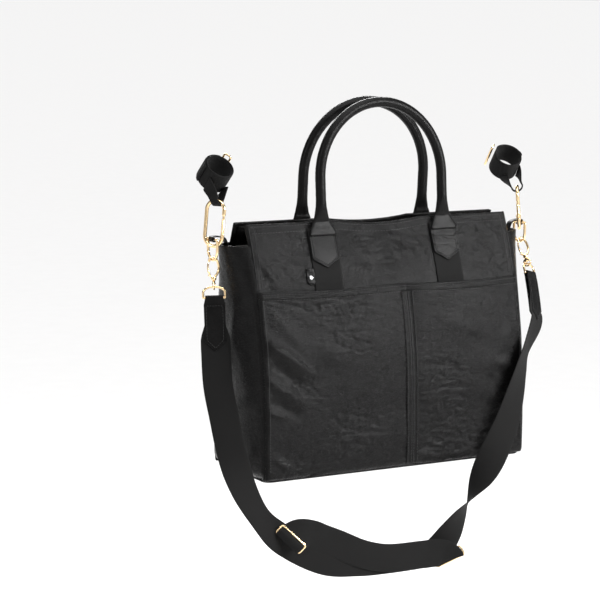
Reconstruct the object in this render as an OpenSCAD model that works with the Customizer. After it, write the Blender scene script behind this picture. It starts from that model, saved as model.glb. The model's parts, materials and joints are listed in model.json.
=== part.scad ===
// Structured tote diaper bag, hung from a stroller handlebar by two webbing straps and carabiners.
// Millimetres. +X runs along the handlebar, the front faces -Y, +Z is up.
// The origin is midway between the two carabiner tops, where the bag hangs.

/* [Bag body] */
// Width of the front and back panels
bag_w = 396; // [340:1:440]
// Height of the panels
bag_h = 322; // [280:1:360]
// Depth front to back at the base
base_depth = 146; // [110:1:180]
// Depth front to back at the mouth
top_depth = 38; // [30:1:60]
// Thickness of the padded leather panels
panel_t = 3; // [2:0.5:5]
// How far the side gussets bow outwards at their top
gusset_bulge = 26; // [10:1:27]
// How full the sides are: 1 is straight, more is rounder below
side_curve = 2.6; // [1.2:0.1:3.5]
// How far the gussets end below the mouth
gusset_drop = 26; // [10:1:60]
// Height of the mouth line below the hanging line
hang_drop = 32; // [20:1:60]

/* [Front pocket] */
// Height of the pocket's top edge above the base
pocket_h = 239; // [160:1:260]
// How far each pocket gapes at its top edge
pocket_gape = 12; // [9:1:20]
// Place of the seam between the two pockets, from the middle
strip_x = 20; // [-60:1:60]
// Width of that felled seam
strip_w = 17; // [8:1:30]
// Height of the pocket hem
hem_h = 9; // [6:1:16]

/* [Handles] */
// Distance between the two legs of a handle
handle_span = 184; // [140:1:220]
// Height of a handle above the mouth
handle_rise = 153; // [120:1:200]
// Diameter of the rolled leather handle
handle_d = 13.4; // [9:0.2:16]
// Width of the stitched leather tabs
tab_w = 38; // [28:1:46]
// Height of the stitched leather tabs
tab_h = 56; // [40:1:70]

/* [Stroller straps] */
// Radius of the handlebar that the straps wrap
tube_r = 17; // [12:0.5:22]
// Width of the webbing round the handlebar
band_w = 30; // [24:1:36]
// Thickness of that webbing
band_t = 2.2; // [1.5:0.1:3]

/* [Metal fittings] */
// Centre-line height of the oblong carabiners
link_h = 58; // [50:1:66]
// Centre-line width of the oblong carabiners
link_w = 25; // [22:1:30]
// Wire diameter of the carabiners
link_wire = 4.8; // [3.6:0.2:5.4]
// Centre-line width of the D-rings on the gussets
ring_w = 26; // [24:1:30]
// Wire diameter of the rings
ring_wire = 3.6; // [3:0.2:4]

/* [Shoulder strap] */
// Width of the shoulder webbing
strap_w = 38; // [30:1:40]
// Thickness of the shoulder webbing
strap_t = 1.8; // [1.2:0.1:2.2]
// Length of the leather strap ends
end_l = 67; // [50:1:74]

/* [Hidden] */
$fn = 48;
black = "#1d1c1c";
web = "#151515";
gold = "#dcb877";
cloth = "#3a3836";
gap = 0.3;
half_w = bag_w / 2;
base_z = -hang_drop - bag_h;
mouth_z = -hang_drop;
fit_gap = 0.05;

// Half depth of the outer bag shape at height h above the base
side_gain = (base_depth - top_depth) / 2;
function depth_at(h) = top_depth / 2 + side_gain * (1 - pow(max(h, 0) / bag_h, side_curve));
// How far the face leans back from upright at that height
function lean_at(h) = atan(side_gain * side_curve * pow(h / bag_h, side_curve - 1) / bag_h);
gusset_h = bag_h - gusset_drop;

// Side fittings: the carabiners lean a little and stand turned to the handlebar
side_x = 235;
link_turn = 55;
link_lean = 5;
link_top_x = side_x - link_h * sin(link_lean);
bar_z = -link_h * cos(link_lean) + 9;
arc_drop = ring_w / 2 + 1;
arc_z = bar_z - arc_drop;
hook_drop = ring_w / 2;
chain_tilt = [4, 27];
end_turn = 29;
end_bar = 61;

// Direction and place of a point on the strap's hook chain, side 0 is left and 1 is right
function chain_dir(k) = [0, -sin(chain_tilt[k]), -cos(chain_tilt[k])];
function chain_point(k, d) = [(k == 0 ? -1 : 1) * side_x, 0, arc_z] + chain_dir(k) * d;

// Handlebar axis through each stroller strap
tube_pos = [222, 18, 32];
tube_dir = [0.12, 0.68, -0.72];

// Route of the shoulder webbing below its left end: x, y, z and the way its face looks
view_az = -119;
route_mid = [
    [-237, -19, -234, -119], [-236, -34, -272, -119], [-234, -52, -316, -119],
    [-226, -72, -362, -119], [-204, -86, -404, -119], [-170, -90, -434, -119],
    [-119, -90, -462, -119], [-70, -90, -470, -119], [-28, -90, -472, -119],
    [20, -90, -472, -119], [48, -90, -470, -112], [66, -91, -452, -92],
    [84, -92, -426, -56], [99, -93, -400, -16], [115, -93, -374, 24],
    [136, -93, -340, 58], [160, -91, -304, 84], [184, -87, -266, 104],
    [206, -80, -230, 118]];
end_steps = [65, 88, 112, 137];
function with_az(p, a) = [p[0], p[1], p[2], a];
route = concat(
    [for (d = end_steps) with_az(chain_point(0, d), -119)],
    route_mid,
    [for (i = [3:-1:0]) with_az(chain_point(1, end_steps[i]), 120)]);
// Route of the doubled layer between the two sliders
route_double = [
    [-166, -96, -424, -119], [-149, -96, -427, -119], [-126, -96, -433, -119],
    [-104, -96, -440, -119], [-66, -96, -458, -119], [-27, -96, -468, -119],
    [25, -96, -470, -119], [56, -96, -473, -119]];
slider_pos = [[-174, -99, -424], [64, -99, -477]];
slider_roll = [43, -27];

function unit(v) = v / norm(v);
// Catmull-Rom curve through the points of P, n steps for each span
function curve(P, n) = [for (i = [0:len(P) - 2]) let (
        a = P[max(i - 1, 0)], b = P[i], c = P[i + 1], d = P[min(i + 2, len(P) - 1)])
    for (s = [0:(i == len(P) - 2 ? n : n - 1)]) let (t = s / n)
        0.5 * (2 * b + (c - a) * t + (2 * a - 5 * b + 4 * c - d) * t * t
        + (3 * b - a - 3 * c + d) * t * t * t)];
function xyz(p) = [p[0], p[1], p[2]];
function dir_at(P, i) = unit(xyz(P[min(i + 1, len(P) - 1)]) - xyz(P[max(i - 1, 0)]));
// Rings of a flat strap that follows P, its face turned to the azimuth in P
function strap_rings(P, w, t) = [for (i = [0:len(P) - 1]) let (
        along = dir_at(P, i), face = [cos(P[i][3]), sin(P[i][3]), 0],
        across = unit(cross(face, along)), out = cross(along, across))
    [for (s = flat_section) xyz(P[i]) + across * s[0] * w / 2 + out * s[1] * t / 2]];
flat_section = [[1, -0.5], [1, 0.5], [0.97, 1], [-0.97, 1], [-1, 0.5], [-1, -0.5], [-0.97, -1], [0.97, -1]];
// Rings of a round wire that follows the plane curve P, whose plane has the normal n
function wire_rings(P, r, n, closed, k = 10) = let (m = len(P))
    [for (i = [0:m - 1]) let (
        before = closed ? P[(i + m - 1) % m] : P[max(i - 1, 0)],
        after = closed ? P[(i + 1) % m] : P[min(i + 1, m - 1)],
        u = unit(cross(unit(after - before), n)))
    [for (j = [0:k - 1]) P[i] + r * (n * cos(360 * j / k) + u * sin(360 * j / k))]];

// Closed solid through a list of rings
module skin(rings, closed = false) {
    n = len(rings);
    k = len(rings[0]);
    last = closed ? n - 1 : n - 2;
    sides = [for (i = [0:last], j = [0:k - 1]) let (
            a = i * k + j, b = i * k + (j + 1) % k,
            c = ((i + 1) % n) * k + (j + 1) % k, d = ((i + 1) % n) * k + j)
        each [[a, d, c], [a, c, b]]];
    caps = closed ? [] : [[for (j = [0:k - 1]) j], [for (j = [k - 1:-1:0]) (n - 1) * k + j]];
    polyhedron(points = [for (r = rings) each r], faces = concat(sides, caps));
}

// Places children on the right side, or mirrored on the left
module on_side(s) {
    if (s < 0) mirror([1, 0, 0]) children();
    else children();
}

// Line up the front face from height h0 to h1, out in front of it
function face_line(h0, h1, out, n = 12) = [for (i = [0:n]) let (h = h0 + (h1 - h0) * i / n)
    [-depth_at(h) - out, base_z + h]];
function back_to_front(P) = [for (i = [len(P) - 1:-1:0]) P[i]];
// Carries a section in the YZ plane along X
module across(w) {
    rotate([90, 0, 90]) linear_extrude(w, center = true) children();
}
// Slab that follows the front face, out0 to out1 in front of it
module face_slab(h0, h1, out0, out1, w) {
    across(w) polygon(concat(face_line(h0, h1, out1), back_to_front(face_line(h0, h1, out0))));
}
// A flat place on the front face at height h: local Y up the face, local Z outwards
module at_face(h, out) {
    translate([0, -depth_at(h), base_z + h]) rotate([90 - lean_at(h), 0, 0]) translate([0, 0, out]) children();
}

// Turns local +Z onto the handlebar axis at a stroller strap
module at_tube() {
    len_xy = norm([tube_dir[0], tube_dir[1]]);
    translate(tube_pos) rotate([0, atan2(len_xy, tube_dir[2]), atan2(tube_dir[1], tube_dir[0])]) children();
}

// ---- stroller straps ----
module stroller_band() {
    color(web) at_tube() {
        difference() {
            cylinder(h = band_w, r = tube_r + band_t, center = true);
            cylinder(h = band_w + 2, r = tube_r, center = true);
        }
        // overlapping hook-and-loop tail
        rotate([0, 0, 150]) rotate_extrude(angle = 115)
            translate([tube_r + band_t, -band_w / 2 + 1]) square([band_t - 0.4, band_w - 2]);
    }
}
module hang_loop() {
    color(web) difference() {
        hull() {
            translate([link_top_x, 0, 0]) rotate([90, 0, link_turn - 90])
                cylinder(h = 12, r = 8.4, center = true);
            at_tube() cylinder(h = band_w - 6, r = 13, center = true);
        }
        hull() {
            translate([link_top_x, 0, 0]) rotate([90, 0, link_turn - 90])
                cylinder(h = 40, r = 6.4, center = true);
            at_tube() cylinder(h = band_w + 20, r = 11, center = true);
        }
        at_tube() cylinder(h = 80, r = tube_r + 2 * band_t, center = true);
    }
}
module cinch_ring() {
    w = band_w + 5;
    h = 9;
    P = [for (q = [[1, 1, 0], [-1, 1, 90], [-1, -1, 180], [1, -1, 270]], a = [0:30:90])
        [q[0] * (w / 2 - 3) + 3 * cos(q[2] + a), q[1] * (h / 2 - 3) + 3 * sin(q[2] + a), 0]];
    color(gold) at_tube() rotate([0, 0, 128]) translate([tube_r + 2 * band_t + 3, 0, 0])
        rotate([0, 90, 0]) skin(wire_rings(P, 1.3, [0, 0, 1], true), true);
}

// ---- carabiners ----
module at_link() {
    translate([link_top_x, 0, 0]) rotate([0, -link_lean, 0]) rotate([0, 0, link_turn + 180]) children();
}
// Outline of the oblong link in its own XZ plane, from angle a0 round to a1
link_bend = link_w / 2;
gate_low = -link_h + 19;
gate_high = -17;
function link_arc(a0, a1, z) = [for (a = [a0:15:a1]) [link_bend * cos(a), 0, z + link_bend * sin(a)]];
module carabiner() {
    path = concat(
        [[link_bend, 0, gate_high]],
        link_arc(0, 180, -link_bend), link_arc(180, 360, -link_h + link_bend),
        [[link_bend, 0, gate_low - 3.4]]);
    color(gold) at_link() {
        skin(wire_rings(path, link_wire / 2, [0, 1, 0], false, 12));
        // catch for the gate's nose
        translate([link_bend, 0, gate_high - 1.2]) cylinder(h = 1.4, r = 1.3);
        // two ears that hold the gate pin
        for (s = [-1, 1]) translate([link_bend, s * 2.2, gate_low]) rotate([90, 0, 0]) difference() {
            union() {
                cylinder(h = 0.8, r = 2.2, center = true);
                translate([-1.8, -4, -0.4]) cube([3.6, 4, 0.8]);
            }
            cylinder(h = 2, r = 0.8, center = true);
        }
    }
}
module gate_pin_pair() {
    color(gold) for (s = [-1, 1]) on_side(s) at_link()
        translate([link_bend, 0, gate_low]) rotate([90, 0, 0]) cylinder(h = 5.2, r = 0.8, center = true);
}
module carabiner_gate() {
    color(gold) at_link() difference() {
        union() {
            translate([link_bend, 0, gate_low]) rotate([90, 0, 0]) cylinder(h = 3, r = 2.2, center = true);
            translate([link_bend, 0, gate_low]) cylinder(h = gate_high - gate_low - 2, r = 1.45);
            translate([link_bend, 0, gate_low + 3]) cylinder(h = gate_high - gate_low - 9, r = 2.3);
        }
        translate([link_bend, 0, gate_low]) rotate([90, 0, 0])
            cylinder(h = 6, r = 0.8 + fit_gap, center = true);
    }
}

// ---- bag body ----
module panel() {
    color(black) difference() {
        face_slab(gap, bag_h, -panel_t, 0, bag_w - 2 * gap);
        // the mouth line dips a little between the handles
        translate([0, 0, mouth_z + 395]) rotate([90, 0, 0])
            cylinder(h = base_depth, r = 400, center = true, $fn = 180);
    }
}
module front_panel() {
    panel();
}
module back_panel() {
    rotate([0, 0, 180]) panel();
}
gusset_t = 2.4;
// Share of the full bow at the share s of the gusset's height, then across its depth
function bow_up(s) = 0.3 + 0.45 * sqrt(s) + 0.25 * pow(s, 6);
function bow(v, s) = gusset_bulge * bow_up(s) * (1 - pow(abs(v), 2.6));
module gusset() {
    steps = 12;
    heights = [for (i = [0:steps]) 2.6 + (gusset_h - 2.6) * i / steps];
    rings = [for (h = heights) let (d = depth_at(h) - gap * 2, s = h / gusset_h)
        concat(
            [for (i = [-7:7]) [half_w + bow(i / 7, s), d * i / 7, base_z + h]],
            [for (i = [7:-1:-7]) [half_w - gusset_t + bow(i / 7, s), (d - gap) * i / 7, base_z + h]])];
    color(black) skin(rings);
}
module base_panel() {
    color(black) translate([0, 0, base_z - 0.1]) linear_extrude(2.4)
        square([bag_w - 4, base_depth - 2 * panel_t - 2], center = true);
}
module base_board() {
    color(cloth) translate([0, 0, base_z + 2.6]) linear_extrude(2.6)
        square([bag_w - 24, base_depth - 24], center = true);
}
module base_piping() {
    r = 2;
    x = half_w - 8;
    y = base_depth / 2 - 8;
    P = [for (q = [[1, 1, 0], [-1, 1, 90], [-1, -1, 180], [1, -1, 270]], a = [0:22.5:90])
        [q[0] * x + 7 * cos(q[2] + a), q[1] * y + 7 * sin(q[2] + a), base_z - r - 0.2]];
    color(black) skin(wire_rings(P, r, [0, 0, 1], true, 8), true);
}
lining_t = 0.8;
module wedge(h0, h1, inset, w) {
    front = face_line(h0, h1, -inset);
    across(w) polygon(concat(front, [for (p = back_to_front(front)) [-p[0], p[1]]]));
}
lining_h = gusset_h - 4;
module lining() {
    inset = panel_t + 0.4;
    color(cloth) difference() {
        wedge(5.6, lining_h, inset, bag_w - 2 * gusset_t - 2);
        wedge(5.6 + lining_t, lining_h + 1, inset + lining_t, bag_w - 2 * gusset_t - 2 - 2 * lining_t);
    }
}
module top_facing() {
    // leather facing inside the mouth
    color(black) face_slab(bag_h - 32, bag_h - 7, -panel_t - 1.5, -panel_t - 0.3, bag_w - 16);
}
module slip_pocket() {
    inset = panel_t + 0.4 + lining_t + 0.3;
    color(cloth) rotate([0, 0, 180]) face_slab(100, 222, -inset - 1, -inset, 220);
}
module snap_half(r, nose) {
    at_face(bag_h - 18, -panel_t - 1.8 - 2) {
        cylinder(h = 2, r = r);
        translate([0, 0, -nose]) cylinder(h = nose + 0.1, r = 3);
    }
}
module snap_front() {
    color(gold) snap_half(8, 1.5);
}
module snap_back() {
    color(gold) rotate([0, 0, 180]) difference() {
        snap_half(8, 0);
        at_face(bag_h - 18, -panel_t - 6) cylinder(h = 3.4, r = 3.4);
    }
}

// ---- front pocket ----
skin_t = 1.6;
pocket_half = half_w - 2;
pocket_low = 1;
// Line up the pocket from height h0 to h1: g = 0 on the bag's face, g = 1 on the gaping cloth,
// out in front of it
function pocket_line(h0, h1, out, g, n = 10) = [for (i = [0:n]) let (h = h0 + (h1 - h0) * i / n)
    [-depth_at(h) - gap - out - g * pocket_gape * (h - pocket_low) / (pocket_h - pocket_low), base_z + h]];
module pocket_band(h0, h1, out0, out1, w, g0 = 1) {
    across(w) polygon(concat(pocket_line(h0, h1, out1, 1), back_to_front(pocket_line(h0, h1, out0, g0))));
}
module front_pocket() {
    wall = 2.4;
    color(black) difference() {
        pocket_band(pocket_low, pocket_h, 0, skin_t, 2 * pocket_half, 0);
        for (s = [-1, 1]) translate([(s * (pocket_half - wall) + strip_x + s * wall) / 2, 0, 0])
            pocket_band(pocket_low + 4, pocket_h + 12, -4, 0, pocket_half - s * strip_x - 2 * wall, 0);
    }
}
module pocket_hem() {
    color(black) pocket_band(pocket_h - hem_h, pocket_h - 0.4, skin_t + 0.1, skin_t + 1.3, 2 * pocket_half - 2);
}
module pocket_strip() {
    color(black) translate([strip_x, 0, 0])
        pocket_band(5, pocket_h - hem_h - 1, skin_t + 0.1, skin_t + 1.1, strip_w);
}

// ---- side fittings on the gussets ----
tab_hole = ring_wire / 2 + 0.1;
module side_tab() {
    // leather loop over the gusset top that holds the D-ring's bar
    from_x = half_w + gusset_bulge - 6;
    color(black) difference() {
        union() {
            translate([side_x, 0, bar_z]) rotate([90, 0, 0]) cylinder(h = 10, r = tab_hole + 1.5, center = true);
            translate([from_x, -5, bar_z + 0.4]) cube([side_x - from_x, 10, 3]);
            translate([from_x - 3, -5, base_z + gusset_h + 0.4]) cube([6, 10, bar_z + 3.4 - base_z - gusset_h - 0.4]);
        }
        translate([side_x, 0, bar_z]) rotate([90, 0, 0]) cylinder(h = 12, r = tab_hole, center = true);
    }
}
module d_ring() {
    r = ring_wire / 2;
    color(gold) translate([side_x, 0, bar_z]) {
        rotate([90, 0, 0]) cylinder(h = ring_w, r = r, center = true);
        translate([0, 0, -arc_drop]) rotate([0, 90, 0]) rotate([0, 0, -90])
            rotate_extrude(angle = 180) translate([ring_w / 2, 0]) circle(r = r, $fn = 24);
        for (s = [-1, 1]) translate([0, s * ring_w / 2, 0]) {
            translate([0, 0, -arc_drop]) cylinder(h = arc_drop, r = r);
            sphere(r = r, $fn = 24);
        }
    }
}

// ---- handles ----
handle_y = top_depth / 2 + 7.4;
handle_z = mouth_z + 6;
handle_lean = 4;
web_t = 1.4;
tab_t = 1.8;
tab_top = bag_h - 4;
module handle_tab(x) {
    h = tab_h - 4;
    color(black) intersection() {
        face_slab(tab_top - h, tab_top, web_t + 0.3, web_t + 0.3 + tab_t, bag_w);
        translate([x, 0, base_z + tab_top - h]) rotate([90, 0, 0]) linear_extrude(base_depth) polygon([
            [-tab_w / 2, h], [tab_w / 2, h], [tab_w / 2 - 1, 10], [2, 0.6], [0, 0], [-2, 0.6],
            [-tab_w / 2 + 1, 10]]);
    }
}
module web_strip(x, low) {
    color(web) translate([x, 0, 0]) face_slab(low, bag_h - 6, 0.15, 0.15 + web_t, tab_w + 1.2);
}
// Centre line of a handle: straight legs, then half an ellipse
leg_h = 50;
function handle_path(end = 0) = concat(
    [[handle_span / 2, 0, end], [handle_span / 2, 0, leg_h / 2]],
    [for (a = [0:7.5:180]) [handle_span / 2 * cos(a), 0, leg_h + (handle_rise - leg_h - 6) * sin(a)]],
    [[-handle_span / 2, 0, leg_h / 2], [-handle_span / 2, 0, end]]);
module at_front_handle() {
    translate([0, -handle_y, handle_z]) rotate([-handle_lean, 0, 0]) children();
}
module handle_roll() {
    color(black) at_front_handle() difference() {
        union() {
            skin(wire_rings(handle_path(), handle_d / 2, [0, 1, 0], false, 12));
            for (s = [-1, 1]) translate([s * handle_span / 2, 0, 0]) sphere(r = handle_d / 2, $fn = 32);
        }
        skin(wire_rings(handle_path(-8), handle_d / 2 - 2, [0, 1, 0], false, 10));
    }
}
module handle_core() {
    color(cloth) at_front_handle() skin(wire_rings(handle_path(20), handle_d / 2 - 2.3, [0, 1, 0], false, 8));
}

// ---- label tag beside the left handle strip ----
tag_x = -handle_span / 2 - tab_w / 2 - 6;
tag_h = 256;
module label_tag() {
    color(web) at_face(tag_h, 0.2) linear_extrude(1.4) translate([tag_x, 0]) square([10, 20], center = true);
}
module label_rivet() {
    color("#c9ccd0") at_face(tag_h, 1.6) translate([tag_x, 0, 0]) cylinder(h = 0.8, r = 3);
}

// ---- shoulder strap ----
module at_chain(k, d) {
    translate(chain_point(k, d)) rotate([-chain_tilt[k], 0, 0]) children();
}
module turned_end(k, d) {
    at_chain(k, d) rotate([0, 0, (k == 0 ? -1 : 1) * end_turn]) children();
}
// Snap hook: almond eye round the D-ring, with one side left open for its trigger
hook_wire = 1.6;
eye_path = [
    [-3.3, 3.3], [0, 4.6], [3.3, 3.3], [5.6, 0], [7.2, -4.5], [7.8, -9], [7, -13.5], [4.8, -17.5], [2, -20.5]];
module hook_shape(k) {
    at_chain(k, hook_drop) translate([0, 0, -0.6]) children();
}
module snap_hook(k) {
    nose = [for (p = [[-5.6, 0], [-5.2, 1.6]]) [p[0], 0, p[1]]];
    right = [for (p = eye_path) [p[0], 0, p[1]]];
    color(gold) hook_shape(k) {
        skin(wire_rings(curve(concat(nose, right), 3), hook_wire, [0, 1, 0], false));
        // body under the eye that carries the trigger and the swivel stem
        difference() {
            union() {
                translate([0, 0, -25]) cylinder(h = 5, r = 3.4);
                translate([-7, -2, -21.5]) cube([9.4, 4, 3.4]);
            }
            translate([-8, -1.3, -21.9]) cube([6, 2.6, 6]);
            translate([-4.4, 0, -19.4]) rotate([90, 0, 0]) cylinder(h = 6, r = 0.7, center = true);
        }
        translate([0, 0, -28.6]) cylinder(h = 4, r = 1.5);
        translate([0, 0, -30.2]) cylinder(h = 1.8, r = 2.6);
        translate([-4.4, 0, -19.4]) rotate([90, 0, 0]) cylinder(h = 4, r = 0.7, center = true);
    }
}
module hook_trigger(k) {
    P = curve([for (p = [[-6.6, -1.2], [-7.4, -5], [-7.6, -9], [-6.8, -13.5], [-5.4, -17]]) [p[0], 0, p[1]]], 3);
    color(gold) hook_shape(k) difference() {
        union() {
            skin(wire_rings(P, 1.1, [0, 1, 0], false));
            translate([-4.4, 0, -19.4]) rotate([90, 0, 0]) cylinder(h = 2.2, r = 1.9, center = true);
            translate([-6.6, -1, -19.2]) cube([2, 2, 3.4]);
        }
        translate([-4.4, 0, -19.4]) rotate([90, 0, 0]) cylinder(h = 6, r = 0.75, center = true);
    }
}
// Stirrup that turns on the hook's stem and hangs the strap ring
module swivel_eye(k) {
    color(gold) hook_shape(k) {
        difference() {
            translate([0, 0, -28]) cylinder(h = 2.6, r = 3.2);
            translate([0, 0, -29]) cylinder(h = 5, r = 1.56);
        }
        P = [for (a = [0:15:360 - 15]) [0, 5.2 * cos(a), -31.8 + 4.6 * sin(a)]];
        rotate([0, 0, (k == 0 ? -1 : 1) * end_turn]) difference() {
            skin(wire_rings(P, 1.1, [1, 0, 0], true, 8), true);
            translate([0, 0, -31]) cylinder(h = 5, r = 3);
        }
    }
}
ring_top = 46.9;
module strap_ring(k) {
    half = 14;
    rise = end_bar - ring_top - 7;
    color(gold) turned_end(k, end_bar) {
        rotate([0, 90, 0]) cylinder(h = 2 * half, r = 1.5, center = true);
        skin(wire_rings(concat(
            [[-half, 0, 0], [-half, 0, rise / 2]],
            [for (a = [180:-15:0]) [half * cos(a), 0, rise + 7 * sin(a)]],
            [[half, 0, rise / 2], [half, 0, 0]]), 1.5, [0, 1, 0], false));
    }
}
module strap_end(k) {
    w = 26;
    t = 1.4;
    slot = strap_t / 2 + 0.7;
    color(black) turned_end(k, end_bar) difference() {
        union() {
            rotate([0, 90, 0]) cylinder(h = w - 4, r = slot + t, center = true);
            for (s = [-1, 1]) translate([0, s * (slot + t / 2), 0]) rotate([90, 0, 0])
                linear_extrude(t, center = true) polygon([
                    [-w / 2 + 2, 0], [w / 2 - 2, 0], [w / 2, -12], [w / 2, -end_l + 12], [0, -end_l],
                    [-w / 2, -end_l + 12], [-w / 2, -12]]);
        }
        rotate([0, 90, 0]) cylinder(h = w, r = 1.6, center = true);
    }
}
module strap_webbing() {
    color(web) skin(strap_rings(curve(route, 3), strap_w, strap_t));
}
module strap_double() {
    color(web) skin(strap_rings(curve(route_double, 3), strap_w, strap_t));
}
// Slider: rectangular frame with a centre bar
module slider(k) {
    w = strap_w + 5;
    h = 15;
    color(gold) translate(slider_pos[k]) rotate([0, 0, view_az + 90]) rotate([0, slider_roll[k], 0])
        rotate([90, 0, 0]) linear_extrude(2.4, center = true) {
            difference() {
                offset(r = 3) square([w - 6, h - 6], center = true);
                offset(r = 1) square([w - 8, h - 8], center = true);
            }
            square([w - 4, 2.6], center = true);
        }
}

strip_low = pocket_h - 34;
hx = handle_span / 2;

on_side(-1) stroller_band();  // stroller_band_left
on_side(1) stroller_band();  // stroller_band_right
on_side(-1) hang_loop();  // hang_loop_left
on_side(1) hang_loop();  // hang_loop_right
on_side(-1) cinch_ring();  // cinch_ring_left
on_side(1) cinch_ring();  // cinch_ring_right
on_side(-1) carabiner();  // carabiner_left
on_side(1) carabiner();  // carabiner_right
gate_pin_pair();  // gate_pins
on_side(-1) carabiner_gate();  // carabiner_gate_left
on_side(1) carabiner_gate();  // carabiner_gate_right
front_panel();
back_panel();
on_side(-1) gusset();  // gusset_left
on_side(1) gusset();  // gusset_right
base_panel();
base_board();
base_piping();
lining();
top_facing();  // facing_front
rotate([0, 0, 180]) top_facing();  // facing_back
slip_pocket();
snap_front();
snap_back();
front_pocket();
pocket_hem();
pocket_strip();
on_side(-1) side_tab();  // side_tab_left
on_side(1) side_tab();  // side_tab_right
on_side(-1) d_ring();  // d_ring_left
on_side(1) d_ring();  // d_ring_right
handle_tab(-hx);  // tab_front_left
handle_tab(hx);  // tab_front_right
rotate([0, 0, 180]) handle_tab(hx);  // tab_back_left
rotate([0, 0, 180]) handle_tab(-hx);  // tab_back_right
web_strip(-hx, strip_low);  // strip_front_left
web_strip(hx, strip_low);  // strip_front_right
rotate([0, 0, 180]) web_strip(hx, 4);  // strip_back_left
rotate([0, 0, 180]) web_strip(-hx, 4);  // strip_back_right
label_tag();
label_rivet();
handle_roll();  // handle_front
handle_core();  // core_front
rotate([0, 0, 180]) handle_roll();  // handle_back
rotate([0, 0, 180]) handle_core();  // core_back
snap_hook(0);  // snap_hook_left
snap_hook(1);  // snap_hook_right
hook_trigger(0);  // hook_trigger_left
hook_trigger(1);  // hook_trigger_right
swivel_eye(0);  // swivel_eye_left
swivel_eye(1);  // swivel_eye_right
strap_ring(0);  // strap_ring_left
strap_ring(1);  // strap_ring_right
strap_end(0);  // strap_end_left
strap_end(1);  // strap_end_right
strap_webbing();
strap_double();
slider(0);  // slider_left
slider(1);  // slider_right
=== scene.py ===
import json
import math
import bpy
import numpy as np
from mathutils import Matrix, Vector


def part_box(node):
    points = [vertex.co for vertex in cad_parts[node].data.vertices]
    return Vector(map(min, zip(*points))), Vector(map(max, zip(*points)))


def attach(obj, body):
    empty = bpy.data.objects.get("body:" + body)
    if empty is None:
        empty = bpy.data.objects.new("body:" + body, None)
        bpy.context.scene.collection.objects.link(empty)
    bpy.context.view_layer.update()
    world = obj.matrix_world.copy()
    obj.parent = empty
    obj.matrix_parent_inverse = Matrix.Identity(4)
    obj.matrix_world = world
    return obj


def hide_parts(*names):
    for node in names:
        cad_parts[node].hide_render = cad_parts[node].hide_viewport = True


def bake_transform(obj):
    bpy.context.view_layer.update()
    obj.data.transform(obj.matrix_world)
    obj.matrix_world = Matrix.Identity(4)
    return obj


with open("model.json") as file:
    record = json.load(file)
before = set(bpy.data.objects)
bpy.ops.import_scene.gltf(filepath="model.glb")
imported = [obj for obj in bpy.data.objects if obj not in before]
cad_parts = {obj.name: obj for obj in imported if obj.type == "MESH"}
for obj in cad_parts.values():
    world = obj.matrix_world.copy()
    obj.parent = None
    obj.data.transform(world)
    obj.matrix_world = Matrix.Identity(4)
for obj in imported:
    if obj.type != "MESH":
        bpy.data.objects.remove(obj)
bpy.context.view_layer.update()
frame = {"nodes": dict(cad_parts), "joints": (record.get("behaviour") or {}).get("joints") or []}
joints = {j["name"]: j for j in frame["joints"]}
mm = 0.001

studio = dict(
    cameraAt=(-1.3888, -2.3387, 0.2542), yaw=28.70, pitch=8.31, roll=0.30, lens=124.1,
    floorZ=-1.02, floorColour=(0.90, 0.895, 0.89), skyColour=(0.97, 0.98, 1.0), skyPower=0.20, sunPower=2.75)


lights = dict(
    key=((0.90, -1.72, 0.62), (-0.02, 0.0, -0.04), (0.9, 0.18), 50),
    glance=((1.42, -1.42, 0.42), (-0.16, -0.07, -0.20), (0.24, 0.26), 24),
    above=((0.1, -1.0, 1.6), (-0.02, 0.0, -0.12), (1.1, 0.4), 12),
    side=((-2.2, -0.35, 0.8), (0.0, 0.0, -0.2), (0.3, 0.7), 12),
    back=((0.7, 2.2, 1.1), (0.0, 0.0, -0.2), (1.6, 0.5), 40))


def addObject(name, data):
    obj = bpy.data.objects.new(name, data)
    bpy.context.scene.collection.objects.link(obj)
    return obj


def standing(right, back, place):
    # a matrix whose columns are right, up and back, then the place
    turn = Matrix.Identity(4)
    for row in range(3):
        turn[row][0], turn[row][1], turn[row][2] = right[row], np.cross(back, right)[row], back[row]
        turn[row][3] = place[row]
    return turn


def makeCamera():
    # looks along yaw and pitch; the roll turns the view's right towards its up
    yaw, pitch, roll = (math.radians(studio[k]) for k in ("yaw", "pitch", "roll"))
    ahead = np.array([math.sin(yaw) * math.cos(pitch), math.cos(yaw) * math.cos(pitch), -math.sin(pitch)])
    level = np.array([math.cos(yaw), -math.sin(yaw), 0.0])
    right = math.cos(roll) * level + math.sin(roll) * np.cross(level, ahead)
    camera = addObject("camera", bpy.data.cameras.new("camera"))
    camera.matrix_world = standing(right, -ahead, studio["cameraAt"])
    camera.data.lens, camera.data.sensor_width = studio["lens"], 36.0
    camera.data.clip_start, camera.data.clip_end = 0.1, 9000.0
    bpy.context.scene.camera = camera


def areaLight(name, place, target, size, power):
    lamp = bpy.data.lights.new(name, "AREA")
    lamp.shape, lamp.size, lamp.size_y = "RECTANGLE", size[0], size[1]
    lamp.energy = power
    aim = np.array(target, float) - np.array(place, float)
    back = -aim / np.linalg.norm(aim)
    side = np.cross([0, 0, 1.0], back)
    addObject(name, lamp).matrix_world = standing(side / np.linalg.norm(side), back, place)


def overheadSun():
    # wide soft sun straight down: it whitens the floor and only grazes upright faces
    lamp = bpy.data.lights.new("overhead", "SUN")
    lamp.energy, lamp.angle = studio["sunPower"], math.radians(70)
    addObject("overhead", lamp)


makeCamera()
for name, values in lights.items():
    areaLight(name, *values)
overheadSun()


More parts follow.
